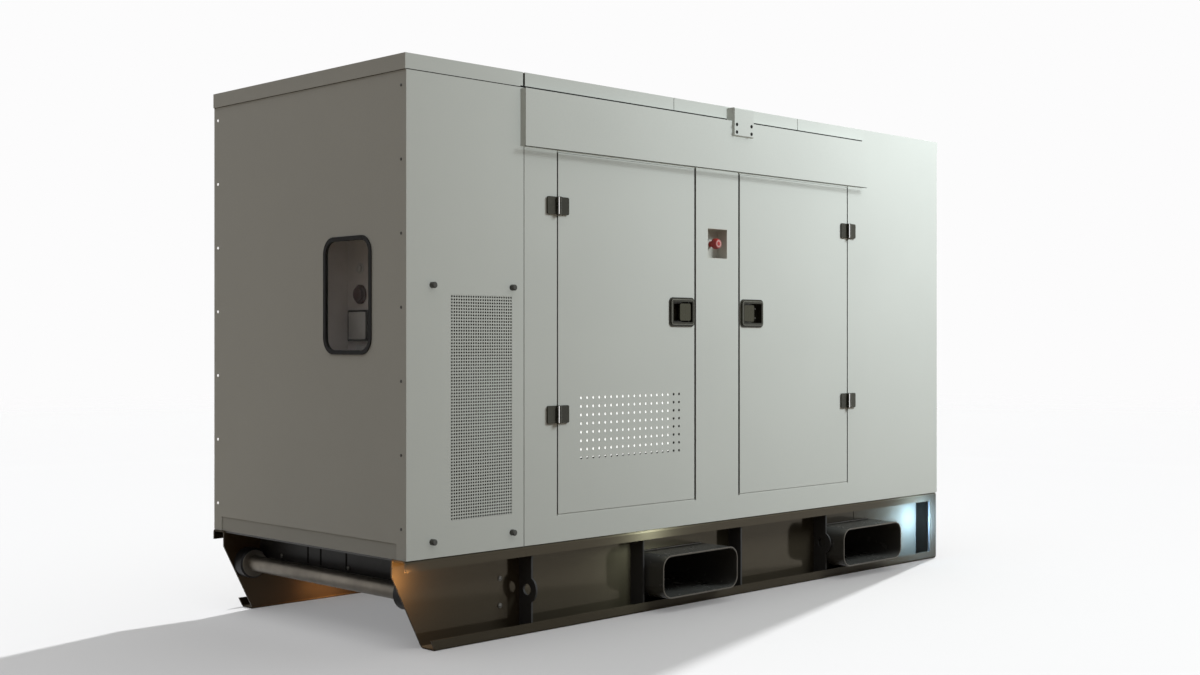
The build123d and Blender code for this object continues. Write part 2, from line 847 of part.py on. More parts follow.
def machine_bearers():
    """Two rectangular tubes along the deck, tied by one across each end."""
    x = (along(bearer_stations[0]), along(bearer_stations[1]))
    wall = bearer_wall
    frame = []
    for side in (-1, 1):
        y = (side * bearer_centre - bearer_width / 2, side * bearer_centre + bearer_width / 2)
        tube = block(x, y, (base_height, bearer_top))
        tube -= block((x[0] - overcut, x[1] + overcut), (y[0] + wall, y[1] - wall),
                      (base_height + wall, bearer_top - wall))
        frame.append(tube)
    reach = bearer_centre - bearer_width / 2
    for start in (x[0], x[1] - bearer_width):
        span = (start, start + bearer_width)
        tie = block(span, (-reach, reach), (base_height, bearer_top))
        tie -= block((span[0] + wall, span[1] - wall), (-reach - overcut, reach + overcut),
                     (base_height + wall, bearer_top - wall))
        frame.append(tie)
    return frame


def machine_block(size):
    """A block across the middle plane, from its stations, half width and levels from the shaft."""
    stations, half, levels = size
    return block((along(stations[0]), along(stations[1])), (-half, half),
                 (shaft_level + levels[0], shaft_level + levels[1]))


def machine_foot(station, side, inner, top):
    """A bracket with a rubber mount that carries the machine on a bearer."""
    low = bearer_top + mount_height
    x = (along(station) - foot_length / 2, along(station) + foot_length / 2)
    web = tuple(sorted((side * inner, side * (inner + foot_web))))
    plate = tuple(sorted((side * inner, side * (bearer_centre + mount_radius + joint_gap))))
    foot = block(x, web, (low, top)) + block(x, plate, (low, low + foot_plate))
    return foot + rod(mount_radius, at(along(station)), at(side * bearer_centre), (bearer_top, low))


def fitting(size, stations):
    """A round fitting along the engine, from its radius, offset and level."""
    radius, offset, level = size
    return rod(radius, (along(stations[0]), along(stations[1])), at(offset), at(shaft_level + level))


def pipe(radius, *points):
    """A round pipe with a ball at each bend."""
    run = [rod(radius, *zip(*sorted((a, b)))) for a, b in zip(points, points[1:])]
    balls = [Pos(*point) * Sphere(radius) for point in points[1:-1]]
    return run + balls


def fan(start):
    """Pitched blades round a hub, ahead of the fan pulley."""
    level = shaft_level + fan_above_shaft
    wheel = rod(fan_hub_radius, (start, start + pulley_width + shroud_depth), at(0), at(level))
    blade = Pos(0, 0, fan_radius / 2) * Rot(0, 0, fan_blade_pitch) * Box(
        foot_plate / 3, fan_blade_width, fan_radius)
    centre = Pos(start + pulley_width + shroud_depth / 2, 0, level)
    for turn in range(fan_blades):
        wheel += centre * Rot(turn * 360 / fan_blades, 0, 0) * blade
    return wheel


def engine():
    """A four-cylinder diesel with its filters, air cleaner and fan."""
    block_half = engine_block_size[1]
    inside = block_half - foot_web
    can_y = -block_half - filter_can_radius - foot_plate
    rear = along(engine_block_size[0][0])
    front = along(timing_cover_size[0][1])
    body = machine_block(engine_block_size) + machine_block(engine_head_size)
    body += machine_block(timing_cover_size)
    sump = machine_block(engine_sump_size)
    body += fillet(sump.edges().filter_by(Axis.X).group_by(Axis.Z)[0], casting_corner)
    cover = machine_block(rocker_cover_size)
    body += fillet(cover.faces().sort_by(Axis.Z)[-1].edges(), casting_corner)
    body += rod(flywheel_radius, (rear - flywheel_depth, rear), at(0), at(shaft_level))
    body += fitting(manifold, manifold_stations)
    body += fitting(turbo, turbo_stations)
    turbo_x = along(sum(turbo_stations) / 2)
    turbo_level = shaft_level + turbo[2]
    body += rod(exhaust_flange_radius, at(turbo_x), at(turbo[1]),
                (turbo_level, turbo_level + exhaust_flange_rise))
    body += fitting(air_cleaner, air_cleaner_stations)
    cleaner_level = shaft_level + air_cleaner[2]
    for station in air_cleaner_strap_stations:
        x = (along(station) - foot_plate, along(station) + foot_plate)
        body += block(x, (air_cleaner[1] + air_cleaner[0] - foot_web, -engine_head_size[1] + foot_plate),
                      (shaft_level + engine_head_size[2][0], cleaner_level))
    bend = along(air_pipe_station)
    body += pipe(air_pipe_radius, (bend, air_cleaner[1], cleaner_level), (bend, turbo[1], cleaner_level),
                 (bend, turbo[1], turbo_level), (turbo_x, turbo[1], turbo_level))
    body += rod(starter[0], (rear - flywheel_depth / 2, rear + starter_length), at(starter[1]),
                at(shaft_level + starter[2]))
    head_level = shaft_level + filter_can_from_shaft
    for station in filter_can_stations:
        body += rod(filter_can_radius, at(along(station)), at(can_y),
                    (head_level - filter_can_height, head_level))
    first, last = [along(station) for station in filter_can_stations]
    body += block((first - filter_can_radius, last + filter_can_radius),
                  (can_y - filter_can_radius, -inside),
                  (head_level, head_level + filter_head_height))
    body += block((along(injection_pump_stations[0]), along(injection_pump_stations[1])),
                  (can_y - filter_can_radius / 2, -inside),
                  (shaft_level + injection_pump_levels[0], shaft_level + injection_pump_levels[1]))
    body += rod(pulley_radius, (front, front + pulley_width), at(0), at(shaft_level))
    body += fan(front)
    for station in engine_foot_stations:
        for side in (-1, 1):
            body += machine_foot(station, side, inside, shaft_level + engine_block_size[2][0] + foot_web)
    return body


def alternator():
    """A round machine with a domed end cover, feet and a terminal box."""
    start, end = [along(station) for station in alternator_stations]
    body = rod(alternator_radius, (start + alternator_cover_length, end - flywheel_depth), at(0),
               at(shaft_level))
    body += rod(flywheel_radius, (end - flywheel_depth, end), at(0), at(shaft_level))
    cover = rod(alternator_cover_radius, (start, start + alternator_cover_length), at(0), at(shaft_level))
    body += chamfer(cover.edges().filter_by(GeomType.CIRCLE).group_by(Axis.X)[0], casting_corner)
    box_top = shaft_level + alternator_radius + terminal_box_height
    box = block((along(terminal_box_stations[0]), along(terminal_box_stations[1])),
                (-terminal_box_half_width, terminal_box_half_width), (shaft_level, box_top))
    body += fillet(box.edges().filter_by(Axis.Z), casting_corner)
    inside = alternator_radius / 2
    for station in alternator_foot_stations:
        for side in (-1, 1):
            body += machine_foot(station, side, inside, shaft_level - inside)
    return body


def radiator():
    """A framed core between two tanks, with a fan shroud and the top hose."""
    x = (along(radiator_stations[0]), along(radiator_stations[1]))
    top = bearer_top + radiator_height
    half = radiator_half_width
    body = block(x, (-half, half), (bearer_top, top))
    core_y = (-half + radiator_frame, half - radiator_frame)
    core_z = (bearer_top + radiator_tank_height, top - radiator_tank_height)
    body -= block((x[0] - overcut, x[0] + radiator_core_set_back), core_y, core_z)
    body -= block((x[1] - radiator_core_set_back, x[1] + overcut), core_y, core_z)
    level = shaft_level + fan_above_shaft
    shroud = block((x[0] - shroud_depth, x[0] + radiator_core_set_back),
                   (-shroud_half_width, shroud_half_width),
                   (level - shroud_half_width, level + shroud_half_width))
    shroud -= rod(fan_radius + foot_plate, (x[0] - shroud_half_width, x[0] + radiator_core_set_back), at(0),
                  at(level))
    body += shroud
    body += rod(radiator_neck_radius, at(sum(x) / 2), at(0), (top - radiator_neck_radius, top + foot_web))
    thermostat = along(engine_head_size[0][1] - foot_web)
    hose_level = top - radiator_tank_height / 2
    head_top = shaft_level + engine_head_size[2][1]
    hose_y = -(rocker_cover_size[1] + hose_radius + joint_gap)
    run = pipe(hose_radius, (x[0] + radiator_core_set_back, hose_y, hose_level),
               (thermostat, hose_y, hose_level), (thermostat, hose_y, head_top))
    return body + run


def silencer():
    """A round silencer on two straps under the roof, with its pipes."""
    start, end = [along(station) for station in silencer_stations]
    spot = (at(turbo[1]), at(silencer_level))
    body = rod(silencer_radius, (start, end), *spot)
    body = chamfer(body.edges().filter_by(GeomType.CIRCLE), casting_corner)
    for station in silencer_strap_stations:
        x = (along(station) - silencer_strap_width / 2, along(station) + silencer_strap_width / 2)
        body += block(x, (turbo[1] - silencer_radius / 2, turbo[1] + silencer_radius / 2),
                      (silencer_level, canopy_top - sheet))
    inlet = shaft_level + turbo[2] + exhaust_flange_rise
    turbo_x = along(sum(turbo_stations) / 2)
    body += rod(exhaust_pipe_radius, at(turbo_x), at(turbo[1]), (inlet, silencer_level))
    return body + rod(exhaust_pipe_radius, (end - casting_corner, half_length - tail_pipe_from_end), *spot)


# Base
near_rail = base_rail()
save("near_rail", near_rail)
save("far_rail", far(near_rail))
near_gussets = [gusset(station) for station in gusset_stations] + [end_gusset()]
save("rail_gussets", *near_gussets, *[far(plate) for plate in near_gussets])
near_eyes = [lashing_plate(station) for station in eye_stations]
save("lashing_plates", *near_eyes, *[far(plate) for plate in near_eyes])
save("control_end_pocket", fork_pocket(pocket_stations[0]))
save("air_end_pocket", fork_pocket(pocket_stations[1]))
save("drag_tube", drag_tube())
save("cross_members", *cross_members())
save("deck_plate", deck_plate())
save("fuel_tank", fuel_tank())

# Canopy ends and sides
save("control_end_panel", control_end_panel())
save("air_end_panel", air_end_panel())
save("air_outlet_screen", outlet_screen())
save("end_sills", end_sill(-1), end_sill(1))
near_vent_side = vent_side_panel()
save("near_vent_side_panel", near_vent_side)
save("far_vent_side_panel", far(near_vent_side))
screen = block(*tall_vent_box())
save("side_vent_screens", screen, far(screen))
near_air_side = air_side_panel()
save("near_air_side_panel", near_air_side)
save("far_air_side_panel", far(near_air_side))
save("side_sills", side_sill(), far(side_sill()))
save("hinge_posts", hinge_post(), far(hinge_post()))
stop_x, stop_z = stop_opening()
near_centre = centre_post() - block(stop_x, (face - overcut, face + 2 * sheet), stop_z)
save("near_centre_post", near_centre)
save("far_centre_post", far(centre_post()))
save("door_headers", door_header(), far(door_header()))
save("rain_hoods", rain_hood(), far(rain_hood()))

# Roof and what is fixed outside
roof_edges = [0.0]
for joint, gap in zip(roof_joint_stations, roof_joint_gaps):
    roof_edges += [joint - gap / 2, joint + gap / 2]
roof_edges.append(canopy_length)
save("roof_panels", *[roof_panel(*roof_edges[i:i + 2]) for i in range(0, len(roof_edges), 2)])
save("lifting_brackets", lifting_bracket(), far(lifting_bracket()))
near_knobs = knobs()
save("panel_knobs", *near_knobs, *[far(knob) for knob in near_knobs])
near_hinges = fixed_hinges()
save("hinge_blocks", *near_hinges, *[far(half) for half in near_hinges])

# Window and emergency stop
save("window_seal", window_seal())
save("window_pane", window_pane())
save("control_panel", control_panel())
save("stop_recess", stop_recess())
save("stop_button", stop_button())

# Machine in the bay
save("machine_bearers", *machine_bearers())
save("engine", engine())
save("alternator", alternator())
save("radiator", radiator())
save("silencer", silencer())

# Doors
vent_opening = (vent_door_start, centre_post_start, True)
plain_opening = (plain_door_start, air_panel_start, False)
near_pieces = {
    "vent_door": [door_panel(*vent_opening) - block(*grille_box())],
    "vent_door_grille": [block(*grille_box())],
    "vent_door_filter": [filter_mat()],
    "vent_door_hardware": moving_hinges(vent_door_start, True) + [latch_frame(*vent_opening)],
    "vent_door_paddle": [paddle(*vent_opening)],
    "plain_door": [door_panel(*plain_opening)],
    "plain_door_hardware": moving_hinges(air_panel_start, False) + [latch_frame(*plain_opening)],
    "plain_door_paddle": [paddle(*plain_opening)],
}
for name, pieces in near_pieces.items():
    save(f"near_{name}", *pieces)
    save(f"far_{name}", *[far(piece) for piece in pieces])
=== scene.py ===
import math

import bpy
import numpy as np
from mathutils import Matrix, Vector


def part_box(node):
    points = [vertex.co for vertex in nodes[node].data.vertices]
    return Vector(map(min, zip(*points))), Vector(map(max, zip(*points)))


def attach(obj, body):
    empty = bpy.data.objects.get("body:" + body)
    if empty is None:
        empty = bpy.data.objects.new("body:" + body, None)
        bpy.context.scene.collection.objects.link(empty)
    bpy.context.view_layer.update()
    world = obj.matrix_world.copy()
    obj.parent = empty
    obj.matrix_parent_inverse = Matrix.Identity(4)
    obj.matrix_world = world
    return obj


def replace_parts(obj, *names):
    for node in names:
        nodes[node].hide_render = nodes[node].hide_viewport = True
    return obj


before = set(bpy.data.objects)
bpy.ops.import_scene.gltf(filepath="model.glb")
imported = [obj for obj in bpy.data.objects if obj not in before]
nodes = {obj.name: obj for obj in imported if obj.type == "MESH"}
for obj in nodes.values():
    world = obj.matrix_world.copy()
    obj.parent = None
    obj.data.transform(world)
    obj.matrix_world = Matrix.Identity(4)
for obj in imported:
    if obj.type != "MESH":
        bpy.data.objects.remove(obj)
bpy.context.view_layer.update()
print("frame loaded:", len(nodes), "nodes")


# Shader maths: a wire is one output socket, and arithmetic on it adds Math nodes to its tree.
class Wire:
    def __init__(self, tree, socket):
        self.tree = tree
        self.socket = socket

    def maths(self, operation, *values):
        node = self.tree.nodes.new("ShaderNodeMath")
        node.operation = operation
        for slotIn, value in zip(node.inputs, values):
            plug(self.tree, slotIn, value)
        return Wire(self.tree, node.outputs[0])

    def __add__(self, other):
        return self.maths("ADD", self, other)

    def __radd__(self, other):
        return self.maths("ADD", other, self)

    def __sub__(self, other):
        return self.maths("SUBTRACT", self, other)

    def __rsub__(self, other):
        return self.maths("SUBTRACT", other, self)

    def __mul__(self, other):
        return self.maths("MULTIPLY", self, other)

    def __rmul__(self, other):
        return self.maths("MULTIPLY", other, self)

    def __gt__(self, other):
        return self.maths("GREATER_THAN", self, other)

    def __lt__(self, other):
        return self.maths("LESS_THAN", self, other)


def plug(tree, socketIn, value):
    if isinstance(value, Wire):
        tree.links.new(value.socket, socketIn)
    elif isinstance(value, (tuple, list)) and len(value) == 3 and len(socketIn.default_value) == 4:
        socketIn.default_value = (*value, 1.0)
    else:
        socketIn.default_value = value


# The nodes of one material or world. Given a name, it makes a new material.
class Finish:
    def __init__(self, owner):
        if isinstance(owner, str):
            owner = bpy.data.materials.new(owner)
            owner.use_nodes = True
        self.owner = owner
        self.tree = owner.node_tree
        self.shader = self.tree.nodes.get("Principled BSDF")

    # one node: its type, its settings first, then the values or links of its sockets by name or place
    def add(self, kind, settings=None, values=None, out=0):
        node = self.tree.nodes.new(kind)
        for key, value in (settings or {}).items():
            if key == "stops":
                for index, (place, colour) in enumerate(value):
                    stop = node.color_ramp.elements[index] if index < 2 else node.color_ramp.elements.new(place)
                    stop.position = place
                    stop.color = (*colour, 1.0)
            else:
                setattr(node, key, value)
        for key, value in (values or {}).items():
            plug(self.tree, node.inputs[key], value)
        return Wire(self.tree, node.outputs[out])

    def place(self, scale=(1, 1, 1)):
        here = self.add("ShaderNodeTexCoord", out="Object")
        return self.add("ShaderNodeMapping", values={"Vector": here, "Scale": scale})

    def noise(self, scale, detail=2.0, stretch=(1, 1, 1)):
        return self.add("ShaderNodeTexNoise", values={
            "Vector": self.place(stretch), "Scale": scale, "Detail": detail, "Roughness": 0.5})

    # one coordinate of object space, or of the direction that a world is seen in
    def coordinate(self, axis, space="Object"):
        here = self.add("ShaderNodeTexCoord", out=space)
        return self.add("ShaderNodeSeparateXYZ", values={"Vector": here}, out=axis)

    # 1 inside a box of object space and 0 outside it
    def within(self, low, high):
        x, y, z = ((self.coordinate(axis) > start) * (self.coordinate(axis) < end)
                   for axis, start, end in zip("XYZ", low, high))
        return x * y * z

    def ramp(self, wire, low, high, start=0.0, end=1.0):
        return self.add("ShaderNodeMapRange", values={
            "Value": wire, "From Min": low, "From Max": high, "To Min": start, "To Max": end})

    def mix(self, factor, first, second):
        return self.add("ShaderNodeMix", {"data_type": "RGBA"}, {0: factor, 6: first, 7: second}, out=2)

    def bump(self, height, depth, strength=1.0):
        return self.add("ShaderNodeBump", values={"Strength": strength, "Distance": depth, "Height": height})

    def feed(self, **sockets):
        for key, value in sockets.items():
            name = {"colour": "Base Color", "roughness": "Roughness", "metallic": "Metallic", "alpha": "Alpha",
                    "normal": "Normal", "ior": "IOR", "specular": "Specular IOR Level", "glow": "Emission Color",
                    "glowStrength": "Emission Strength"}[key]
            plug(self.tree, self.shader.inputs[name], value)
        return self.owner


canopyPaint = {"colour": (0.50, 0.515, 0.475), "shade": 0.93, "roughness": 0.55, "grain": 900, "grainDepth": 0.00005,
               "cloud": 2.2, "scuff": 22}
basePaint = {"colour": (0.060, 0.050, 0.034), "dust": (0.085, 0.078, 0.066), "metallic": 0.5, "roughness": 0.09,
             "peel": 190, "peelDepth": 0.00001, "top": 0.295, "bend": 0.009, "dustTo": 0.10,
             "endPlate": (0.050, 0.048, 0.043), "endPlateLow": (1.4295, -0.5635, 0.0),
             "endPlateHigh": (1.4382, 0.5635, 0.3)}
plateGrey = {"colour": (0.044, 0.044, 0.043), "worn": (0.065, 0.063, 0.058), "roughness": 0.36}
tubeSteel = {"colour": (0.20, 0.18, 0.15), "dark": (0.085, 0.075, 0.06), "roughness": 0.34, "collarFrom": 0.4425,
             "collar": (0.012, 0.012, 0.012)}
engineGreen = {"colour": (0.060, 0.085, 0.075), "oily": (0.030, 0.040, 0.036), "can": (0.42, 0.41, 0.38),
               "black": (0.020, 0.020, 0.020), "iron": (0.075, 0.060, 0.048), "roughness": 0.42}
engineCans = {"low": (0.012, -0.28, 0.655), "high": (0.240, -0.170, 0.835)}
engineAir = {"low": (-0.03, -0.35, 1.150), "high": (0.36, -0.12, 1.420)}
engineManifold = {"low": (-0.10, 0.105, 0.955), "high": (0.48, 0.30, 1.50)}
radiatorCore = {"low": (0.60, -0.368, 0.470), "high": (0.83, 0.368, 1.236), "finScale": 143.2391,
                "rowScale": 110.0}
hardware = {"colour": (0.026, 0.026, 0.017), "edge": (0.060, 0.058, 0.043), "roughness": 0.20}
latchChrome = {"colour": (0.062, 0.061, 0.043), "roughness": 0.24}
panelGrey = {"colour": (0.60, 0.575, 0.55), "roughness": 0.6}
stopRed = {"colour": (0.30, 0.018, 0.014), "pale": (0.42, 0.07, 0.06), "roughness": 0.35}
filterFibre = {"colour": (0.93, 0.93, 0.92), "shade": (0.80, 0.80, 0.78), "glowFrom": 0.562,
               "paintedGlow": (0.72, 0.73, 0.72)}


# Powder coat: fine grain in the bump, a faint cloud in the colour and slightly glossier scuffs.
def makeCanopyPaint(name, look=canopyPaint):
    f = Finish(name)
    cloud = f.ramp(f.noise(look["cloud"], 4.0), 0.3, 0.7)
    speck = f.ramp(f.noise(look["grain"] * 0.35, 1.0), 0.35, 0.65)
    deep = tuple(c * look["shade"] for c in look["colour"])
    base = f.mix(cloud * 0.45 + speck * 0.35, look["colour"], deep)
    scuff = f.ramp(f.noise(look["scuff"], 3.0, (1, 1, 0.35)), 0.55, 0.8)
    grain = f.noise(look["grain"], 2.0)
    return f.feed(colour=base, roughness=look["roughness"] - scuff * 0.06 + speck * 0.03, specular=0.3,
                  normal=f.bump(grain, look["grainDepth"]))


# Dark brown enamel, nearly metallic. It is dull on the bends and the end gusset, and dust gathers low down.
def makeBasePaint(name, look=basePaint):
    f = Finish(name)
    height = f.coordinate("Z")
    endPlate = f.within(look["endPlateLow"], look["endPlateHigh"])
    bends = (height > look["top"] - look["bend"]) + (height < look["bend"])
    dull = endPlate.maths("MAXIMUM", endPlate, bends)
    low = f.ramp(height, look["dustTo"], 0.0)
    patch = f.ramp(f.noise(9.0, 5.0, (0.6, 0.6, 2.5)), 0.45, 0.72)
    dust = (low * 0.12 * patch + patch * 0.03) * (1 - dull)
    peel = f.noise(look["peel"], 1.0)
    paint = f.mix(endPlate, look["colour"], look["endPlate"])
    return f.feed(colour=f.mix(dust, paint, look["dust"]), roughness=look["roughness"] + dust + dull * 0.5,
                  metallic=(1 - dull) * look["metallic"], specular=0.12, normal=f.bump(peel, look["peelDepth"]))


# Thin primer on plates: dull, with paler rubbed patches.
def makePlateGrey(name, look=plateGrey, specular=0.14):
    f = Finish(name)
    rubbed = f.ramp(f.noise(24.0, 5.0), 0.58, 0.80)
    return f.feed(colour=f.mix(rubbed * 0.5, look["colour"], look["worn"]), roughness=look["roughness"] + rubbed * 0.1,
                  specular=specular, normal=f.bump(f.noise(420.0, 2.0), 0.00006, 0.5))


# Drawn tube: fine lines and duller patches. The collars at its ends are black.
def makeTubeSteel(name, look=tubeSteel):
    f = Finish(name)
    across = f.coordinate("Y")
    collar = across.maths("ABSOLUTE", across) > look["collarFrom"]
    lines = f.noise(60.0, 3.0, (1, 14, 1))
    patch = f.ramp(f.noise(14.0, 4.0), 0.35, 0.7)
    steel = f.mix(patch * 0.6, look["colour"], look["dark"])
    return f.feed(colour=f.mix(collar, steel, look["collar"]), metallic=(1 - collar) * 0.85, specular=0.15,
                  roughness=look["roughness"] + lines * 0.14, normal=f.bump(lines, 0.0001, 0.4))


# Painted castings, darker where oil has run, with cream filter cans, a black air cleaner and a rusty manifold.
def makeEngineGreen(name, look=engineGreen):
    f = Finish(name)
    oily = f.ramp(f.noise(7.0, 5.0, (1, 1, 0.4)), 0.40, 0.72)
    paint = f.mix(oily, look["colour"], look["oily"])
    can = f.within(engineCans["low"], engineCans["high"])
    air = f.within(engineAir["low"], engineAir["high"])
    hot = f.within(engineManifold["low"], engineManifold["high"])
    colour = f.mix(hot, f.mix(air, f.mix(can, paint, look["can"]), look["black"]), look["iron"])
    return f.feed(colour=colour, roughness=look["roughness"] + hot * 0.3 - oily * 0.08,
                  normal=f.bump(f.noise(260.0, 4.0), 0.00025, 0.6))


# Matt black sheet metal, with fine upright fins on the core.
def makeRadiatorBlack(name):
    f = Finish(name)
    core = f.within(radiatorCore["low"], radiatorCore["high"])
    fins = f.add("ShaderNodeTexWave", {"wave_type": "BANDS", "bands_direction": "Y"},
                 {"Vector": f.place(), "Scale": radiatorCore["finScale"], "Distortion": 0.4}, out="Fac")
    rows = f.add("ShaderNodeTexWave", {"wave_type": "BANDS", "bands_direction": "Z"},
                 {"Vector": f.place(), "Scale": radiatorCore["rowScale"], "Distortion": 0.0}, out="Fac")
    dust = f.ramp(f.noise(5.0, 4.0), 0.4, 0.7)
    return f.feed(colour=f.mix(core * fins * 0.6 + dust * 0.2, (0.018, 0.018, 0.018), (0.070, 0.068, 0.062)),
                  roughness=0.62, specular=0.3, normal=f.bump((fins + rows * 0.5) * core, 0.0012, 0.8))


# Aluminised sheet, with heat tint and dull streaks.
def makeSilencerSteel(name):
    f = Finish(name)
    streak = f.ramp(f.noise(10.0, 5.0, (0.3, 1, 1)), 0.35, 0.75)
    return f.feed(colour=f.mix(streak, (0.42, 0.41, 0.39), (0.22, 0.185, 0.15)), metallic=0.75,
                  roughness=0.42 + streak * 0.2, normal=f.bump(f.noise(300.0, 3.0), 0.0001, 0.5))


# Black coated steel, paler where it is worn.
def makeHardware(name, look=hardware, metallic=0.25):
    f = Finish(name)
    worn = f.ramp(f.noise(70.0, 4.0), 0.55, 0.75)
    grain = f.noise(650.0, 2.0)
    return f.feed(colour=f.mix(worn * 0.5, look["colour"], look["edge"]), metallic=metallic, specular=0.35,
                  roughness=look["roughness"] + worn * 0.12, normal=f.bump(grain, 0.00006, 0.5))


# Dark polished metal with smears.
def makeChrome(name, look=latchChrome):
    f = Finish(name)
    smear = f.ramp(f.noise(45.0, 3.0, (1, 1, 0.3)), 0.4, 0.75)
    return f.feed(colour=look["colour"], metallic=0.9, roughness=look["roughness"] + smear * 0.12,
                  normal=f.bump(f.noise(380.0, 1.0), 0.00003, 0.4))


# Dull rubber with a pale bloom.
def makeRubber(name, colour=(0.010, 0.0095, 0.009)):
    f = Finish(name)
    bloom = f.ramp(f.noise(60.0, 3.0), 0.4, 0.75)
    return f.feed(colour=f.mix(bloom * 0.5, colour, tuple(c * 2.2 for c in colour)), roughness=0.62 + bloom * 0.15,
                  specular=0.15, normal=f.bump(f.noise(900.0, 1.0), 0.00006, 0.6))


# Plain paint, plastic or metal with a slow cloud in its colour, for everything that needs no finish of its own.
def makeMatt(name, colour, roughness=0.6, mottle=0.8, metallic=0.0, grain=500.0, specular=0.5):
    f = Finish(name)
    cloud = f.ramp(f.noise(6.0, 5.0), 0.35, 0.7)
    shade = tuple(c * mottle for c in colour)
    return f.feed(colour=f.mix(cloud, colour, shade), roughness=roughness + cloud * 0.08, metallic=metallic,
                  specular=specular, normal=f.bump(f.noise(grain, 2.0), 0.00008, 0.5))


# Clear glass with a faint film.
def makeGlass(name):
    f = Finish(name)
    film = f.ramp(f.noise(12.0, 4.0), 0.4, 0.8)
    return f.feed(colour=(0.30, 0.31, 0.30), roughness=0.02 + film * 0.05, alpha=0.05 + film * 0.03, ior=1.45)


# Red plastic, paler where fingers press it.
def makeStopRed(name, look=stopRed):
    f = Finish(name)
    worn = f.ramp(f.noise(90.0, 3.0), 0.45, 0.75)
    return f.feed(colour=f.mix(worn * 0.4, look["colour"], look["pale"]), roughness=look["roughness"] + worn * 0.1,
                  normal=f.bump(f.noise(420.0, 1.0), 0.00005, 0.5))


# Fibre mat: crossed fine noise for the fibres. Its outward face glows with a fixed light, which is painted light: no
# lamp shines through it from behind.
def makeFilter(name, look=filterFibre):
    f = Finish(name)
    fibre = f.noise(160.0, 5.0, (1, 1, 5)) * f.noise(140.0, 5.0, (5, 1, 1))
    tuft = f.ramp(fibre, 0.12, 0.4)
    across = f.coordinate("Y")
    outward = across.maths("ABSOLUTE", across) > look["glowFrom"]
    return f.feed(colour=f.mix(tuft, look["shade"], look["colour"]), roughness=0.95, specular=0.1,
                  glow=f.mix(outward, (0.0, 0.0, 0.0), look["paintedGlow"]), glowStrength=1.0,
                  normal=f.bump(fibre, 0.0012))


finishes = {
    "canopy": makeCanopyPaint("canopyPaint"),
    "sill": makeCanopyPaint("sillPaint", {**canopyPaint, "colour": (0.40, 0.41, 0.375)}),
    "base": makeBasePaint("basePaint"),
    "pocket": makePlateGrey("pocketPaint", {**plateGrey, "colour": (0.052, 0.052, 0.047), "roughness": 0.24}, 0.5),
    "plate": makePlateGrey("plateGrey"),
    "engine": makeEngineGreen("engineGreen"),
    "radiator": makeRadiatorBlack("radiatorBlack"),
    "silencer": makeSilencerSteel("silencerSteel"),
    "tube": makeTubeSteel("tubeSteel"),
    "hardware": makeHardware("hardwareBlack"),
    "hinge": makeHardware("hingeBlack", {"colour": (0.040, 0.039, 0.028), "edge": (0.075, 0.070, 0.055),
                                         "roughness": 0.42}),
    "chrome": makeChrome("latchChrome"),
    "rubber": makeRubber("sealRubber"),
    "glass": makeGlass("paneGlass"),
    "inner": makeMatt("innerGrey", panelGrey["colour"], panelGrey["roughness"]),
    "recess": makeMatt("recessGrey", (0.50, 0.50, 0.45), 0.55, 0.9),
    "stop": makeStopRed("stopRed"),
    "filter": makeFilter("filterWhite"),
    "tank": makeMatt("tankBlack", (0.030, 0.030, 0.028), 0.45),
    "lining": makeMatt("liningFoam", (0.022, 0.022, 0.021), 0.9, 0.6, 0.0, 120.0, 0.1),
    "seam": makeMatt("seamGap", (0.020, 0.020, 0.019), 0.9, 0.8, 0.0, 500.0, 0.1),
    "knob": makeHardware("knobDark", {"colour": (0.055, 0.055, 0.048), "edge": (0.14, 0.14, 0.12), "roughness": 0.38},
                         0.0),
}


finishOfNode = {
    "near_rail": "base", "far_rail": "base", "rail_gussets": "plate", "lashing_plates": "plate",
    "cross_members": "plate", "machine_bearers": "plate", "hinge_blocks": "hinge", "fuel_tank": "tank",
    "deck_plate": "tank", "drag_tube": "tube", "panel_knobs": "knob", "window_seal": "rubber", "window_pane": "glass",
    "control_panel": "inner", "stop_recess": "recess", "stop_button": "stop", "engine": "engine",
    "alternator": "engine", "radiator": "radiator", "silencer": "silencer", "end_sills": "sill",
}
finishOfLastWord = {"pocket": "pocket", "paddle": "chrome", "hardware": "hardware", "filter": "filter"}


def finishOf(name):
    return finishOfNode.get(name, finishOfLastWord.get(name.split("_")[-1], "canopy"))


for name, node in nodes.items():
    node.data.materials.clear()
    node.data.materials.append(finishes[finishOf(name)])
print("finishes on", len(nodes), "nodes")


def newPiece(name, points, faces, finish, body, smooth=False):
    mesh = bpy.data.meshes.new(name)
    mesh.from_pydata(points.tolist(), [], faces.tolist() if isinstance(faces, np.ndarray) else faces)
    mesh.validate()
    piece = bpy.data.objects.new(name, mesh)
    bpy.context.scene.collection.objects.link(piece)
    mesh.materials.append(finishes[finish])
    mesh.polygons.foreach_set("use_smooth", np.full(len(mesh.polygons), smooth))
    if smooth:
        mesh.set_sharp_from_angle(angle=math.radians(35))
    mesh.update()
    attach(piece, body)
    return piece


# Points that lie within a micron of each other become one.
def weld(points, faces):
    keys = np.round(points * 1e6).astype(np.int64)
    _, first, link = np.unique(keys, axis=0, return_index=True, return_inverse=True)
    link = link.reshape(-1)
    faces = link[faces]
    keep = np.array([len(set(face)) > 2 for face in faces.tolist()])
    return points[first], faces[keep]


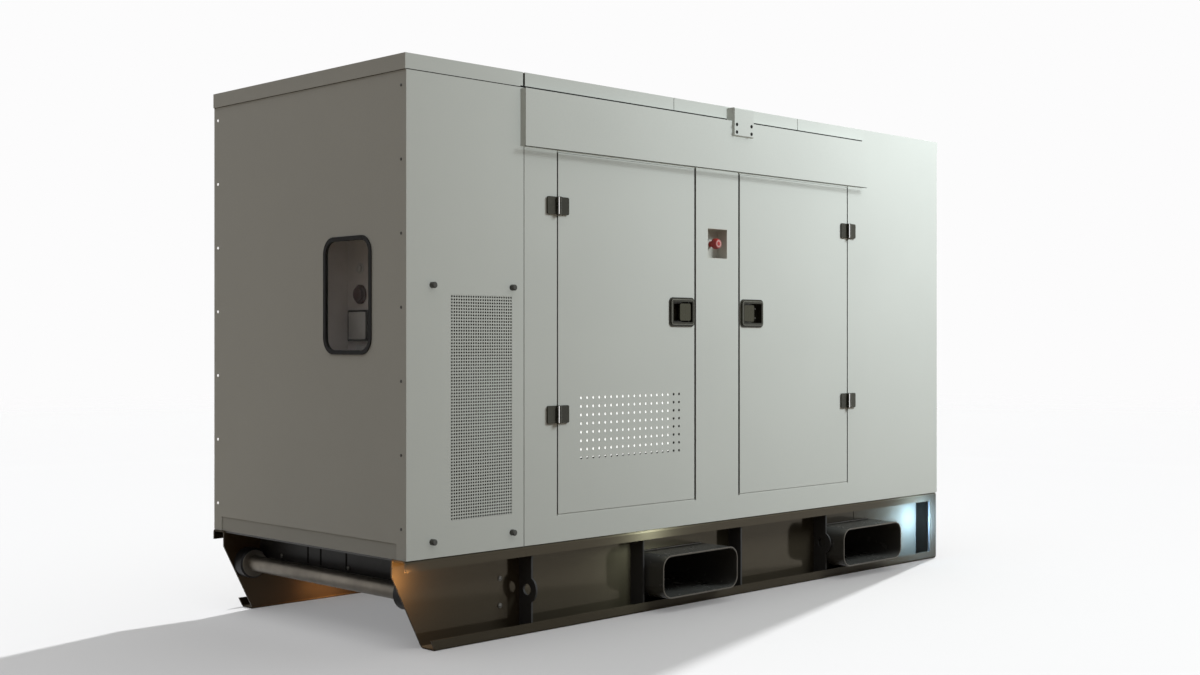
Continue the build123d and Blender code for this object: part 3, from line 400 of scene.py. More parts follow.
# A plate of columns x rows cells with a round hole in each. In one cell, point k of n is at angle 2 pi k / n:
# on the hole at (r cos, r sin), and on the cell's border at the half pitch times (cos, sin) / max(|cos|, |sin|).
# Front border, front hole, back hole and back border are four rings, joined by quads.
def perforated(low, high, columns, rows, radius, sides):
    width, height = high[0] - low[0], high[2] - low[2]
    pitch = np.array([width / columns, height / rows])
    angle = 2 * np.pi * np.arange(sides) / sides
    circle = np.stack([np.cos(angle), np.sin(angle)], 1)
    border = circle / np.abs(circle).max(1, keepdims=True) * pitch / 2
    rings = [(border, low[1]), (circle * radius, low[1]), (circle * radius, high[1]), (border, high[1])]
    cell = np.concatenate([np.column_stack([r[:, 0], np.full(sides, y), r[:, 1]]) for r, y in rings])
    across, up = np.meshgrid(np.arange(columns) + 0.5, np.arange(rows) + 0.5)
    centres = np.stack([low[0] + across.ravel() * pitch[0], np.zeros(across.size),
                        low[2] + up.ravel() * pitch[1]], 1)
    points = (centres[:, None, :] + cell[None]).reshape(-1, 3)
    k = np.arange(sides)
    n = (k + 1) % sides
    quads = np.concatenate([np.stack([a * sides + k, a * sides + n, (a + 1) * sides + n, (a + 1) * sides + k], 1)
                            for a in range(3)])
    faces = (np.arange(len(centres))[:, None, None] * len(cell) + quads[None]).reshape(-1, 4)
    points, faces = weld(points, faces)
    return points, np.concatenate([faces, plateRim(points, faces)])


# The outer rim: an edge that only one face uses is on the front or the back border. Each front one is joined
# to the back point behind it.
def plateRim(points, faces):
    edges = np.concatenate([np.stack([faces[:, i], faces[:, (i + 1) % 4]], 1) for i in range(4)])
    ordered = np.sort(edges, 1)
    _, place, count = np.unique(ordered, axis=0, return_index=True, return_counts=True)
    single = edges[place[count == 1]]
    middle = (points[:, 1].min() + points[:, 1].max()) / 2
    front = single[points[single[:, 0], 1] < middle]
    keys = {tuple(key): i for i, key in enumerate(np.round(points * 1e6).astype(np.int64).tolist())}
    backY = int(np.round(points[:, 1].max() * 1e6))
    behind = np.array([keys[(int(x), backY, int(z))] for x, _, z in
                       np.round(points[front.ravel()] * 1e6).astype(np.int64)]).reshape(-1, 2)
    return np.stack([front[:, 1], front[:, 0], behind[:, 0], behind[:, 1]], 1)


# A body turned about its own axis: ring j has radius r_j at height h_j, point k of a ring is at angle
# 2 pi k / n. The ends close in a single point each. Copies stand at the given places, along the given axis.
def turned(profile, places, axis, sides=12):
    profile = np.array(profile, dtype=float)
    angle = 2 * np.pi * np.arange(sides) / sides
    ring = np.stack([np.cos(angle), np.sin(angle)], 1)
    axis = np.array(axis, dtype=float)
    side = np.cross(axis, (0.0, 0.0, 1.0)) if abs(axis[2]) < 0.9 else np.array((1.0, 0.0, 0.0))
    side /= np.linalg.norm(side)
    other = np.cross(axis, side)
    shape = (profile[:, 0, None, None] * (ring[None, :, :1] * side + ring[None, :, 1:] * other)
             + profile[:, 1, None, None] * axis).reshape(-1, 3)
    shape = np.concatenate([shape, [profile[0, 1] * axis, profile[-1, 1] * axis]])
    k = np.arange(sides)
    n = (k + 1) % sides
    rings = len(profile)
    walls = [np.stack([j * sides + k, j * sides + n, (j + 1) * sides + n, (j + 1) * sides + k], 1)
             for j in range(rings - 1)]
    faces = np.concatenate(walls).tolist()
    first, last = rings * sides, rings * sides + 1
    faces += [[first, b, a] for a, b in zip(k.tolist(), n.tolist())]
    faces += [[last, (rings - 1) * sides + a, (rings - 1) * sides + b] for a, b in zip(k.tolist(), n.tolist())]
    places = np.array(places, dtype=float).reshape(-1, 3)
    points = (places[:, None, :] + shape[None]).reshape(-1, 3)
    allFaces = [[i + c * len(shape) for i in face] for c in range(len(places)) for face in faces]
    return points, allFaces


# A rounded slab on a wall: the outline is a rounded rectangle of the plane (u, v), corner arcs of n points,
# carried from the seat to the crown in rings that step inward by the chamfer. Both ends are closed.
def slab(centre, u, v, normal, width, height, corner, depth, bevel=0.0, arc=5):
    centre, u, v, normal = (np.array(a, dtype=float) for a in (centre, u, v, normal))
    turn = np.linspace(0, np.pi / 2, arc)
    quarter = np.stack([np.cos(turn), np.sin(turn)], 1)
    spin = [np.array([[1, 0], [0, 1]]), np.array([[0, -1], [1, 0]]), np.array([[-1, 0], [0, -1]]),
            np.array([[0, 1], [-1, 0]])]
    signs = np.array([[1, 1], [-1, 1], [-1, -1], [1, -1]])

    def outline(inset):
        radius = max(corner - inset, 1e-5)
        hub = np.array([width / 2 - corner, height / 2 - corner])
        return np.concatenate([s * hub + (quarter @ m.T) * radius for s, m in zip(signs, spin)])

    levels = [(0.0, 0.0), (0.0, depth - bevel), (bevel * 0.3, depth - bevel * 0.3), (bevel, depth)]
    if bevel == 0:
        levels = [(0.0, 0.0), (0.0, depth)]
    rings = [centre + o[:, :1] * u + o[:, 1:] * v + d * normal
             for o, d in ((outline(inset), d) for inset, d in levels)]
    sides = 4 * arc
    points = np.concatenate(rings)
    k = np.arange(sides)
    n = (k + 1) % sides
    faces = np.concatenate([np.stack([j * sides + k, j * sides + n, (j + 1) * sides + n, (j + 1) * sides + k], 1)
                            for j in range(len(rings) - 1)]).tolist()
    faces.append(list(range(sides))[::-1])
    faces.append([(len(rings) - 1) * sides + i for i in range(sides)])
    return points, faces


# A wire laid round a rounded rectangle: at each point of the outline, with outward normal n in its plane, the
# wire's ring is the point + radius (cos a n + sin a w), where w is the plane's own normal. The run closes on itself.
def wireRing(centre, u, v, width, height, corner, radius, arc=6, sides=8):
    centre, u, v = (np.array(a, dtype=float) for a in (centre, u, v))
    w = np.cross(u, v)
    turn = np.linspace(0, np.pi / 2, arc)
    angle = (turn[None, :] + np.pi / 2 * np.arange(4)[:, None]).ravel()
    signs = np.repeat(np.array([[1, 1], [-1, 1], [-1, -1], [1, -1]]), arc, 0)
    normal = np.stack([np.cos(angle), np.sin(angle)], 1)
    spot = signs * np.array([width / 2 - corner, height / 2 - corner]) + normal * corner
    a = 2 * np.pi * np.arange(sides) / sides
    out = spot[:, None, :] + radius * np.cos(a)[None, :, None] * normal[:, None, :]
    points = centre + out[..., :1] * u + out[..., 1:] * v + radius * np.sin(a)[None, :, None] * w
    rings, k = len(spot), np.arange(sides)
    j = np.arange(rings)[:, None]
    n, following = (k + 1) % sides, (j + 1) % rings
    faces = np.stack([j * sides + k, following * sides + k, following * sides + n, j * sides + n], -1).reshape(-1, 4)
    return points.reshape(-1, 3), faces


length = 3.0
halfWidth = 0.565
sheet = 0.0025
bothSides = ((-1, "near"), (1, "far"))


def fromEnd(station):
    return station - length / 2


# The perforated side screens, with a dark baffle behind each
sideScreen = {"columns": 26, "rows": 72, "radius": 0.0036, "sides": 8, "reach": 0.0003, "baffleDepth": 0.032,
              "baffleMargin": 0.03, "baffleCorner": 0.004, "baffleThick": 0.006}
for side, sideName in bothSides:
    low, high = (np.array(corner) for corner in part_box("side_vent_screens"))
    if side < 0:
        high[1] = low[1] + sheet
    else:
        low[1] = high[1] - sheet
    low[[0, 2]] -= sideScreen["reach"]
    high[[0, 2]] += sideScreen["reach"]
    points, faces = perforated(low, high, sideScreen["columns"], sideScreen["rows"], sideScreen["radius"],
                               sideScreen["sides"])
    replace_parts(newPiece(sideName + "SideScreen", points, faces, "canopy", "canopy"), "side_vent_screens")
    centre = ((low[0] + high[0]) / 2, side * (halfWidth - sideScreen["baffleDepth"]), (low[2] + high[2]) / 2)
    baffle = slab(centre, (-side, 0, 0), (0, 0, 1), (0, side, 0), high[0] - low[0] + 2 * sideScreen["baffleMargin"],
                  high[2] - low[2] + 2 * sideScreen["baffleMargin"], sideScreen["baffleCorner"],
                  sideScreen["baffleThick"])
    newPiece(sideName + "SideScreenBaffle", *baffle, "lining", "canopy")

# The vent plates of the doors next to the control end
doorGrille = {"columns": 18, "rows": 8, "radius": 0.0050, "sides": 24}
for sideName in ("near", "far"):
    low, high = (np.array(corner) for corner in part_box(sideName + "_vent_door_grille"))
    points, faces = perforated(low, high, doorGrille["columns"], doorGrille["rows"], doorGrille["radius"],
                               doorGrille["sides"])
    grille = newPiece(sideName + "DoorGrille", points, faces, "canopy", sideName + "_vent_door")
    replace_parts(grille, sideName + "_vent_door_grille")

# The plate in the air end stands across the length, so its x and y change places
outletScreen = {"columns": 28, "rows": 45, "radius": 0.0085, "sides": 12}
low, high = (np.array(corner)[[1, 0, 2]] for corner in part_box("air_outlet_screen"))
points, faces = perforated(low, high, outletScreen["columns"], outletScreen["rows"], outletScreen["radius"],
                           outletScreen["sides"])
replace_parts(newPiece("outletMesh", points[:, [1, 0, 2]], faces[:, ::-1], "canopy", "canopy"), "air_outlet_screen")
print("perforated plates made")


# Boxes given as (x, y, z) ranges, each of eight points, joined into one piece
def blocks(name, ranges, finish, body):
    corners = np.array([[0, 0, 0], [1, 0, 0], [1, 1, 0], [0, 1, 0], [0, 0, 1], [1, 0, 1], [1, 1, 1], [0, 1, 1]])
    walls = np.array([[0, 3, 2, 1], [4, 5, 6, 7], [0, 1, 5, 4], [1, 2, 6, 5], [2, 3, 7, 6], [3, 0, 4, 7]])
    ends = np.array(ranges, dtype=float)
    points = np.where(corners[None] == 1, ends[:, None, :, 1], ends[:, None, :, 0]).reshape(-1, 3)
    faces = (np.arange(len(ends))[:, None, None] * 8 + walls[None]).reshape(-1, 4)
    return newPiece(name, points, faces, finish, body)


# The range between two distances from the middle, on the near side (-1) or the far side (1), lowest end first
def across(side, first, second):
    return (min(side * first, side * second), max(side * first, side * second))


# The dark joints: under the roof, above the hoods, beside the control end and across the roof; below the hoods, a dark
# strip on each underside is painted shade
seam = {"levels": (1.8188, 1.8212), "proud": 0.0004, "depth": 0.004, "endX": 1.496, "nearTo": 0.919,
        "hood": (-1.022, 0.919), "hoodLevels": (1.8212, 1.8245), "hoodShadeDepths": (0.5850, 0.5912),
        "hoodShadeLevels": (1.6220, 1.6231), "joint": (-1.0078, -1.0042), "jointLevels": (0.297, 1.8175),
        "jointDepths": (0.5550, 0.5628), "roofLevels": (1.8225, 1.8665),
        "roofJoints": ((-1.0105, -1.0015), (-0.2665, -0.2635), (0.4725, 0.4755))}
endX = seam["endX"]
seamBands = []
for side in (-1, 1):
    depths = across(side, halfWidth - seam["depth"], halfWidth + seam["proud"])
    seamBands.append(((-endX, seam["nearTo"]), depths, seam["levels"]))
    seamBands.append((seam["hood"], depths, seam["hoodLevels"]))
    seamBands.append((across(side, endX - seam["depth"], endX + seam["proud"]),
                      (-halfWidth + seam["depth"], halfWidth - seam["depth"]), seam["levels"]))
    seamBands.append((seam["joint"], across(side, *seam["jointDepths"]), seam["jointLevels"]))
roofReach = seam["jointDepths"][1]
seamBands += [(joint, (-roofReach, roofReach), seam["roofLevels"]) for joint in seam["roofJoints"]]
# dark strips on the underside of each hood: painted shade
seamBands += [(seam["hood"], across(side, *seam["hoodShadeDepths"]), seam["hoodShadeLevels"]) for side in (-1, 1)]
blocks("panelJoints", seamBands, "seam", "canopy")

# Doorways: a pale lip above and below each door, a rubber frame behind it and dark strips on its jambs.
# Doors: a bead of paler steel round the latch, partly its polish and partly a painted highlight, a dark strip on each
# upright edge, and foam inside that leaves the latch free.
doorways = {"Vent": {"x": (-0.856, -0.1465), "door": (-0.851, -0.151), "latch": (-0.310, -0.154), "foot": 0.850,
                     "frame": (-0.291, -0.154)},
            "Plain": {"x": (0.1075, 0.817), "door": (0.112, 0.812), "latch": (0.112, 0.270), "foot": 0.410,
                      "frame": (0.115, 0.252)}}
latchBead = {"y": 0.5724, "z": 1.0835, "height": 0.107, "inset": 0.0080, "corner": 0.009, "radius": 0.0012}
doorSeal = {"low": 0.383, "high": 1.623, "lipTop": 0.0050, "lipFoot": 0.0043, "lipFrom": 0.548, "lipTo": 0.5643,
            "lipEnd": 0.004, "lipPast": 0.0005, "frame": 0.016, "frameFrom": 0.5245, "frameTo": 0.5290,
            "strip": 0.0006, "stripFrom": 0.531, "stripTo": 0.5640, "stripFoot": 0.006, "stripTop": 0.007}
foam = {"from": 0.5395, "to": 0.5620, "top": 1.600, "edge": 0.022, "latchLow": 1.008, "latchHigh": 1.160,
        "joint": 0.002}
# the bead's steel is paler than the latch: a painted highlight on top of its polish
finishes["beadSteel"] = makeMatt("beadSteel", (0.20, 0.20, 0.165), 0.16, 0.9, 0.8, 300.0)
finishes["rimSteel"] = makeMatt("rimSteel", (0.105, 0.092, 0.072), 0.34, 0.8, 0.4, 300.0)
for side, sideName in bothSides:
    for kind, door in doorways.items():
        piece, body = sideName + kind, sideName + "_" + kind.lower() + "_door"
        x0, x1 = door["x"]
        low, high = doorSeal["low"], doorSeal["high"]
        x, y = (x0 + doorSeal["lipEnd"], x1 - doorSeal["lipEnd"]), across(side, doorSeal["lipFrom"], doorSeal["lipTo"])
        blocks(piece + "Lips", [(x, y, (high - doorSeal["lipTop"], high + doorSeal["lipPast"])),
                                (x, y, (low - doorSeal["lipPast"], low + doorSeal["lipFoot"]))], "canopy", "canopy")
        y = across(side, doorSeal["frameFrom"], doorSeal["frameTo"])
        w = doorSeal["frame"]
        blocks(piece + "Seal", [((x0, x1), y, (high - w, high)), ((x0, x1), y, (low, low + w)),
                                ((x0, x0 + w), y, (low + w, high - w)), ((x1 - w, x1), y, (low + w, high - w))],
               "rubber", "canopy")
        y = across(side, doorSeal["frameTo"], doorSeal["lipTo"])
        t, z = doorSeal["strip"], (low + doorSeal["stripFoot"], high - doorSeal["stripTop"])
        blocks(piece + "JambStrips", [((x0, x0 + t), y, z), ((x1 - t, x1), y, z)], "seam", "canopy")
        lx0, lx1 = door["frame"]
        bead = wireRing(((lx0 + lx1) / 2, side * latchBead["y"], latchBead["z"]), (1, 0, 0), (0, 0, 1),
                        lx1 - lx0 - 2 * latchBead["inset"], latchBead["height"] - 2 * latchBead["inset"],
                        latchBead["corner"], latchBead["radius"])
        newPiece(piece + "LatchBead", *bead, "beadSteel", body, True)
        y = across(side, doorSeal["stripFrom"], doorSeal["stripTo"])
        d0, d1 = door["door"]
        blocks(piece + "EdgeStrips", [((d0 - t, d0), y, z), ((d1, d1 + t), y, z)], "seam", body)
        y = across(side, foam["from"], foam["to"])
        d0, d1 = d0 + foam["edge"], d1 - foam["edge"]
        l0, l1 = door["latch"]
        plain, strip = ((d0, l0), (l0 + foam["joint"], d1)) if kind == "Vent" else ((l1, d1), (d0, l1 - foam["joint"]))
        blocks(piece + "Foam", [(plain, y, (door["foot"], foam["top"])), (strip, y, (door["foot"], foam["latchLow"])),
                                (strip, y, (foam["latchHigh"], foam["top"]))], "lining", body)

# A dark strip behind the last columns of each door grille, beside the filter mat: painted shade for the dark seen
# through those holes
grilleShadeStrip = {"x": (-0.2775, -0.205), "depths": (0.545, 0.5575), "levels": (0.552, 0.805)}
for side, sideName in bothSides:
    blocks(sideName + "GrilleStrip", [(grilleShadeStrip["x"], across(side, *grilleShadeStrip["depths"]), grilleShadeStrip["levels"])],
           "seam", sideName + "_vent_door")

# Foam under the roof and on the walls beside the radiator
roofFoam = {"x": (-1.47, 1.47), "y": (-0.53, 0.53), "z": (1.842, 1.8664)}
wallFoam = {"x": (0.86, 1.46), "depths": (0.5385, 0.5620), "z": (0.330, 1.790)}
blocks("roofFoam", [(roofFoam["x"], roofFoam["y"], roofFoam["z"])], "lining", "canopy")
blocks("wallFoam", [(wallFoam["x"], across(side, *wallFoam["depths"]), wallFoam["z"]) for side in (-1, 1)],
       "lining", "canopy")
print("seams, seals and foam made")

# Screws down the edges of the end panels, the same screws in two finishes: a dark one on the near side as painted
# shade, and a glowing one on the far side as a painted highlight
endScrew = {"first": 0.392, "step": 0.230, "count": 7, "fromEdge": 0.026, "radius": 0.0050, "proud": 0.0018}
screwProfile = [(0.0030, -0.0005), (endScrew["radius"], 0.0), (endScrew["radius"], endScrew["proud"] * 0.4),
                (endScrew["radius"] * 0.72, endScrew["proud"]), (endScrew["radius"] * 0.3, endScrew["proud"])]
# This pale finish glows without a lamp: a painted highlight, used on the far screws and on the hinge strips
finishes["glint"] = makeMatt("paintedGlintHead", (0.90, 0.90, 0.89), 0.2, 0.95, 0.2)
Finish(finishes["glint"]).feed(glow=(0.8, 0.8, 0.8), glowStrength=0.7)
finishes["dullBolt"] = makeMatt("dullBolt", (0.16, 0.155, 0.14), 0.35, 0.8, 0.5)
levels = endScrew["first"] + endScrew["step"] * np.arange(endScrew["count"])
for end, endName in ((-1, "control"), (1, "air")):
    low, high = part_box(endName + "_end_panel")
    wall = low[0] if end < 0 else high[0]
    # the near screws take the dark knob finish as painted shade, the far ones the glowing finish as a painted
    # highlight
    for side, finish, where in ((-1, "knob", "Near"), (1, "glint", "Far")):
        y = side * (halfWidth - endScrew["fromEdge"])
        places = [(wall, y, z) for z in levels]
        points, faces = turned(screwProfile, places, (end, 0, 0))
        newPiece(endName + "End" + where + "Screws", points, faces, finish, "canopy", True)

# Two bolts in each web of the base
webBolt = {"station": 0.446, "levels": (0.096, 0.186), "fromFace": 0.067, "radius": 0.0065, "proud": 0.005}
r, proud = webBolt["radius"], webBolt["proud"]
boltProfile = [(r * 1.35, 0.0), (r * 1.35, 0.002), (r, 0.002), (r, proud * 0.7), (r * 0.55, proud)]
for side, sideName in bothSides:
    places = [(fromEnd(webBolt["station"]), side * (halfWidth - webBolt["fromFace"]), z) for z in webBolt["levels"]]
    newPiece(sideName + "WebBolts", *turned(boltProfile, places, (0, side, 0), 16), "dullBolt", "canopy", True)

# A worn steel rim round each mouth of the fork pockets
rim = {"inset": 0.003, "corner": 0.043, "radius": 0.0028, "back": 0.0015, "arc": 8}
for number, name in enumerate(("control_end_pocket", "air_end_pocket")):
    low, high = (np.array(corner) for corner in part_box(name))
    middle = (low + high) / 2
    for sideName, y in (("near", low[1] + rim["back"]), ("far", high[1] - rim["back"])):
        ring = wireRing((middle[0], y, middle[2]), (1, 0, 0), (0, 0, 1), high[0] - low[0] - 2 * rim["inset"],
                        high[2] - low[2] - 2 * rim["inset"], rim["corner"], rim["radius"], rim["arc"])
        newPiece(sideName + "PocketRim" + str(number), *ring, "rimSteel", "canopy", True)

# Weld beads on the fork pockets, and the short joint in the web above the second one
weldBead = {"pockets": ((-0.3605, -0.0375), (0.7285, 1.0515)), "y": 0.5000, "z": 0.2085, "radius": 0.0035,
            "taper": 0.006, "joint": (0.951, 0.9532), "jointDepths": (0.495, 0.4986), "jointLevels": (0.216, 0.262)}
r, taper = weldBead["radius"], weldBead["taper"]
for side, sideName in bothSides:
    for number, (start, end) in enumerate(weldBead["pockets"]):
        run = end - start
        bead = [(r * 0.3, 0.0), (r, taper), (r, run - taper), (r * 0.3, run)]
        place = (start, side * weldBead["y"], weldBead["z"])
        newPiece(sideName + "Weld" + str(number), *turned(bead, [place], (1, 0, 0), 8), "dullBolt", "canopy", True)
    blocks(sideName + "WebJoint", [(weldBead["joint"], across(side, *weldBead["jointDepths"]),
                                    weldBead["jointLevels"])], "seam", "canopy")

# The cross member behind the drag tube: joints between its plates, and two bolts
crossDetail = {"x": -1.350, "proud": 0.0008, "back": 0.001, "joints": (0.185, 0.107, -0.044), "width": 0.008,
               "levels": (0.197, 0.293), "bolts": ((0.349, 0.206), (-0.057, 0.206)), "radius": 0.007}
crossX, half = crossDetail["x"], crossDetail["width"] / 2
blocks("crossJoints", [((crossX - crossDetail["proud"], crossX + crossDetail["back"]), (y - half, y + half),
                        crossDetail["levels"]) for y in crossDetail["joints"]], "seam", "canopy")
r = crossDetail["radius"]
places = [(crossX, y, z) for y, z in crossDetail["bolts"]]
newPiece("crossBolts", *turned([(r, 0.0), (r, 0.003), (r * 0.6, 0.005)], places, (-1, 0, 0), 12), "dullBolt",
         "canopy", True)

# Door furniture: caps on the latch studs, and a thin strip in the glowing finish on each hinge knuckle, a painted
# highlight
stud = {"x": {"vent": -0.260, "plain": 0.221}, "y": 0.5520, "levels": (1.0655, 1.1015), "radius": 0.0036}
hingeHighlight = {"axes": {"vent": -0.8535, "plain": 0.8145}, "y": 0.574, "levels": (0.728, 1.436), "reach": 0.00905,
              "width": 0.0023, "height": 0.058, "corner": 0.0004, "thick": 0.0005, "turn": 132.7}
turn = math.radians(hingeHighlight["turn"])
for side, sideName in bothSides:
    for kind, x in stud["x"].items():
        r = stud["radius"]
        places = [(x, side * stud["y"], z) for z in stud["levels"]]
        caps = turned([(r, 0.0), (r, 0.0006), (r * 0.5, 0.0016)], places, (0, side, 0), 10)
        newPiece(sideName + kind.title() + "Studs", *caps, "dullBolt", sideName + "_" + kind + "_door", True)
    outward = np.array((math.cos(turn), side * math.sin(turn), 0.0))
    tangent = np.cross((0, 0, 1), outward)
    for kind, x in hingeHighlight["axes"].items():
        # on the plain door's hinge the strip lies in the way of the door's leaf, so it turns with the door
        body = sideName + "_plain_door" if kind == "plain" else "canopy"
        # each strip is a painted highlight on the knuckle
        for number, z in enumerate(hingeHighlight["levels"]):
            centre = np.array((x, side * hingeHighlight["y"], z)) + outward * hingeHighlight["reach"]
            strip = slab(centre, tangent, (0, 0, 1), outward, hingeHighlight["width"], hingeHighlight["height"],
                         hingeHighlight["corner"], hingeHighlight["thick"])
            newPiece(sideName + kind.title() + "Strip" + str(number), *strip, "glint", body)

# The pale ring and the eye on the stop button
finishes["stopPale"] = makeMatt("stopPale", (0.50, 0.30, 0.28), 0.4, 0.85)
stopMark = {"centre": (-0.0195, -0.5710, 1.345), "ring": 0.0138, "eye": 0.0085, "thick": 0.0004, "root": 0.0006}
for name, r, thick, finish in (("stopRing", stopMark["ring"], stopMark["thick"], "stopPale"),
                               ("stopEye", stopMark["eye"], stopMark["thick"] * 2, "stop")):
    mark = turned([(r, -stopMark["root"]), (r, thick * 0.6), (r * 0.9, thick)], [stopMark["centre"]], (0, -1, 0), 28)
    newPiece(name, *mark, finish, "stop_button", True)

# Black discs in the holes of the lifting brackets, which make the holes read black
bracketHoleDisc = {"centre": 0.091, "x": 0.0435, "levels": (1.800, 1.771), "y": 0.6030, "radius": 0.0068}
r = bracketHoleDisc["radius"]
plugProfile = [(r * 0.7, 0.0), (r, 0.0021), (r, 0.0026), (r * 0.4, 0.0027)]
for side, sideName in bothSides:
    places = [(bracketHoleDisc["centre"] + dx * bracketHoleDisc["x"], side * bracketHoleDisc["y"], z)
              for dx in (-1, 1) for z in bracketHoleDisc["levels"]]
    newPiece(sideName + "BracketPlugs", *turned(plugProfile, places, (0, side, 0), 12), "seam", "canopy")
print("screws, bolts, beads and marks made")

# What the window shows on the plate of the control box: a module in a black frame, whose black is painted shade for
# the gap round its face, a plug, a key switch and a small plate
controlItems = {
    "module": {"y": 0.393, "z": 1.028, "width": 0.108, "height": 0.104, "depth": 0.012, "border": 0.014,
               "faceDepth": 0.0122},
    "plug": {"y": 0.388, "z": 1.132, "radius": 0.032},
    "keySwitch": {"y": 0.388, "z": 1.218, "radius": 0.012},
    "plate": {"y": 0.388, "z": 0.953, "width": 0.046, "height": 0.023},
}
# the black of the module's frame is painted shade, standing for the gap round its face
finishes["outline"] = makeMatt("moduleGapShade", (0.006, 0.006, 0.006), 0.7, 0.8, 0.0, 500.0, 0.1)
finishes["module"] = makeMatt("moduleFace", (0.42, 0.42, 0.40), 0.45, 0.9)
finishes["plugBrown"] = makeMatt("plugBrown", (0.040, 0.009, 0.006), 0.35, 0.3, 0.0, 90.0, 0.3)
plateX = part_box("control_panel")[1][0] - sheet
outOfBox = (-1, 0, 0)


def onPlate(item, forward=0.0):
    return (plateX - forward, item["y"] - halfWidth, item["z"])


# A rounded slab on the plate, standing out of the box toward the window
def plateSlab(name, centre, width, height, corner, depth, bevel, finish):
    newPiece(name, *slab(centre, (0, 1, 0), (0, 0, -1), outOfBox, width, height, corner, depth, bevel), finish,
             "canopy", True)


item = controlItems["module"]
plateSlab("moduleShadeFrame", onPlate(item), item["width"], item["height"], 0.004, item["depth"], 0.002, "outline")
plateSlab("moduleFace", onPlate(item, item["faceDepth"]), item["width"] - item["border"],
          item["height"] - item["border"], 0.003, 0.001, 0.0005, "module")
item = controlItems["plug"]
r = item["radius"]
plugProfile = [(r, 0.0), (r, 0.006), (r * 0.86, 0.008), (r * 0.62, 0.008), (r * 0.58, 0.011), (r * 0.72, 0.012),
               (r * 0.72, 0.016), (r * 0.5, 0.018), (r * 0.2, 0.018)]
newPiece("redPlug", *turned(plugProfile, [onPlate(item)], outOfBox, 28), "plugBrown", "canopy", True)
item = controlItems["keySwitch"]
r = item["radius"]
keyProfile = [(r * 1.5, 0.0), (r * 1.5, 0.002), (r, 0.003), (r, 0.010), (r * 0.7, 0.012), (r * 0.2, 0.012)]
newPiece("keySwitch", *turned(keyProfile, [onPlate(item)], outOfBox, 20), "module", "canopy", True)
item = controlItems["plate"]
plateSlab("smallPlate", onPlate(item), item["width"], item["height"], 0.003, 0.002, 0.0006, "module")
print("control items made")

# Camera at the photograph's place
camera = {"place": (-4.3446, -4.2606, 0.9802), "turn": (90, 0, -45), "lens": 44.91, "sensor": 36.0, "shift": 0.0021}
cameraData = bpy.data.cameras.new("camera")
cameraData.lens = camera["lens"]
cameraData.sensor_width = camera["sensor"]
cameraData.shift_y = camera["shift"]
cameraObject = bpy.data.objects.new("camera", cameraData)
cameraObject.location = camera["place"]
cameraObject.rotation_euler = [math.radians(a) for a in camera["turn"]]
bpy.context.scene.collection.objects.link(cameraObject)
bpy.context.scene.camera = cameraObject

# Floor: pale where the camera or a gloss sees it, darker in the light that it throws back, and faded out far away
floor = {"reach": 40.0, "seen": (0.60, 0.603, 0.61), "bounce": (0.160, 0.128, 0.090), "fadeFrom": 7.0, "fadeTo": 22.0}
reach = floor["reach"]
mesh = bpy.data.meshes.new("floor")
mesh.from_pydata([(-reach, -reach, 0), (reach, -reach, 0), (reach, reach, 0), (-reach, reach, 0)], [],
                 [(0, 1, 2, 3)])
floorObject = bpy.data.objects.new("floor", mesh)
bpy.context.scene.collection.objects.link(floorObject)


def seenDirectly(finish):
    rays = [finish.add("ShaderNodeLightPath", out="Is " + kind + " Ray")
            for kind in ("Camera", "Glossy", "Transmission")]
    return rays[0].maths("MAXIMUM", rays[0].maths("MAXIMUM", rays[0], rays[1]), rays[2])


f = Finish("floorPale")
here = f.add("ShaderNodeTexCoord", out="Object")
distance = f.add("ShaderNodeVectorMath", {"operation": "LENGTH"}, {0: here}, out="Value")
f.feed(colour=f.mix(seenDirectly(f), floor["bounce"], floor["seen"]), roughness=0.9, specular=0.0,
       alpha=f.ramp(distance, floor["fadeFrom"], floor["fadeTo"], 1.0, 0.0))
mesh.materials.append(f.owner)

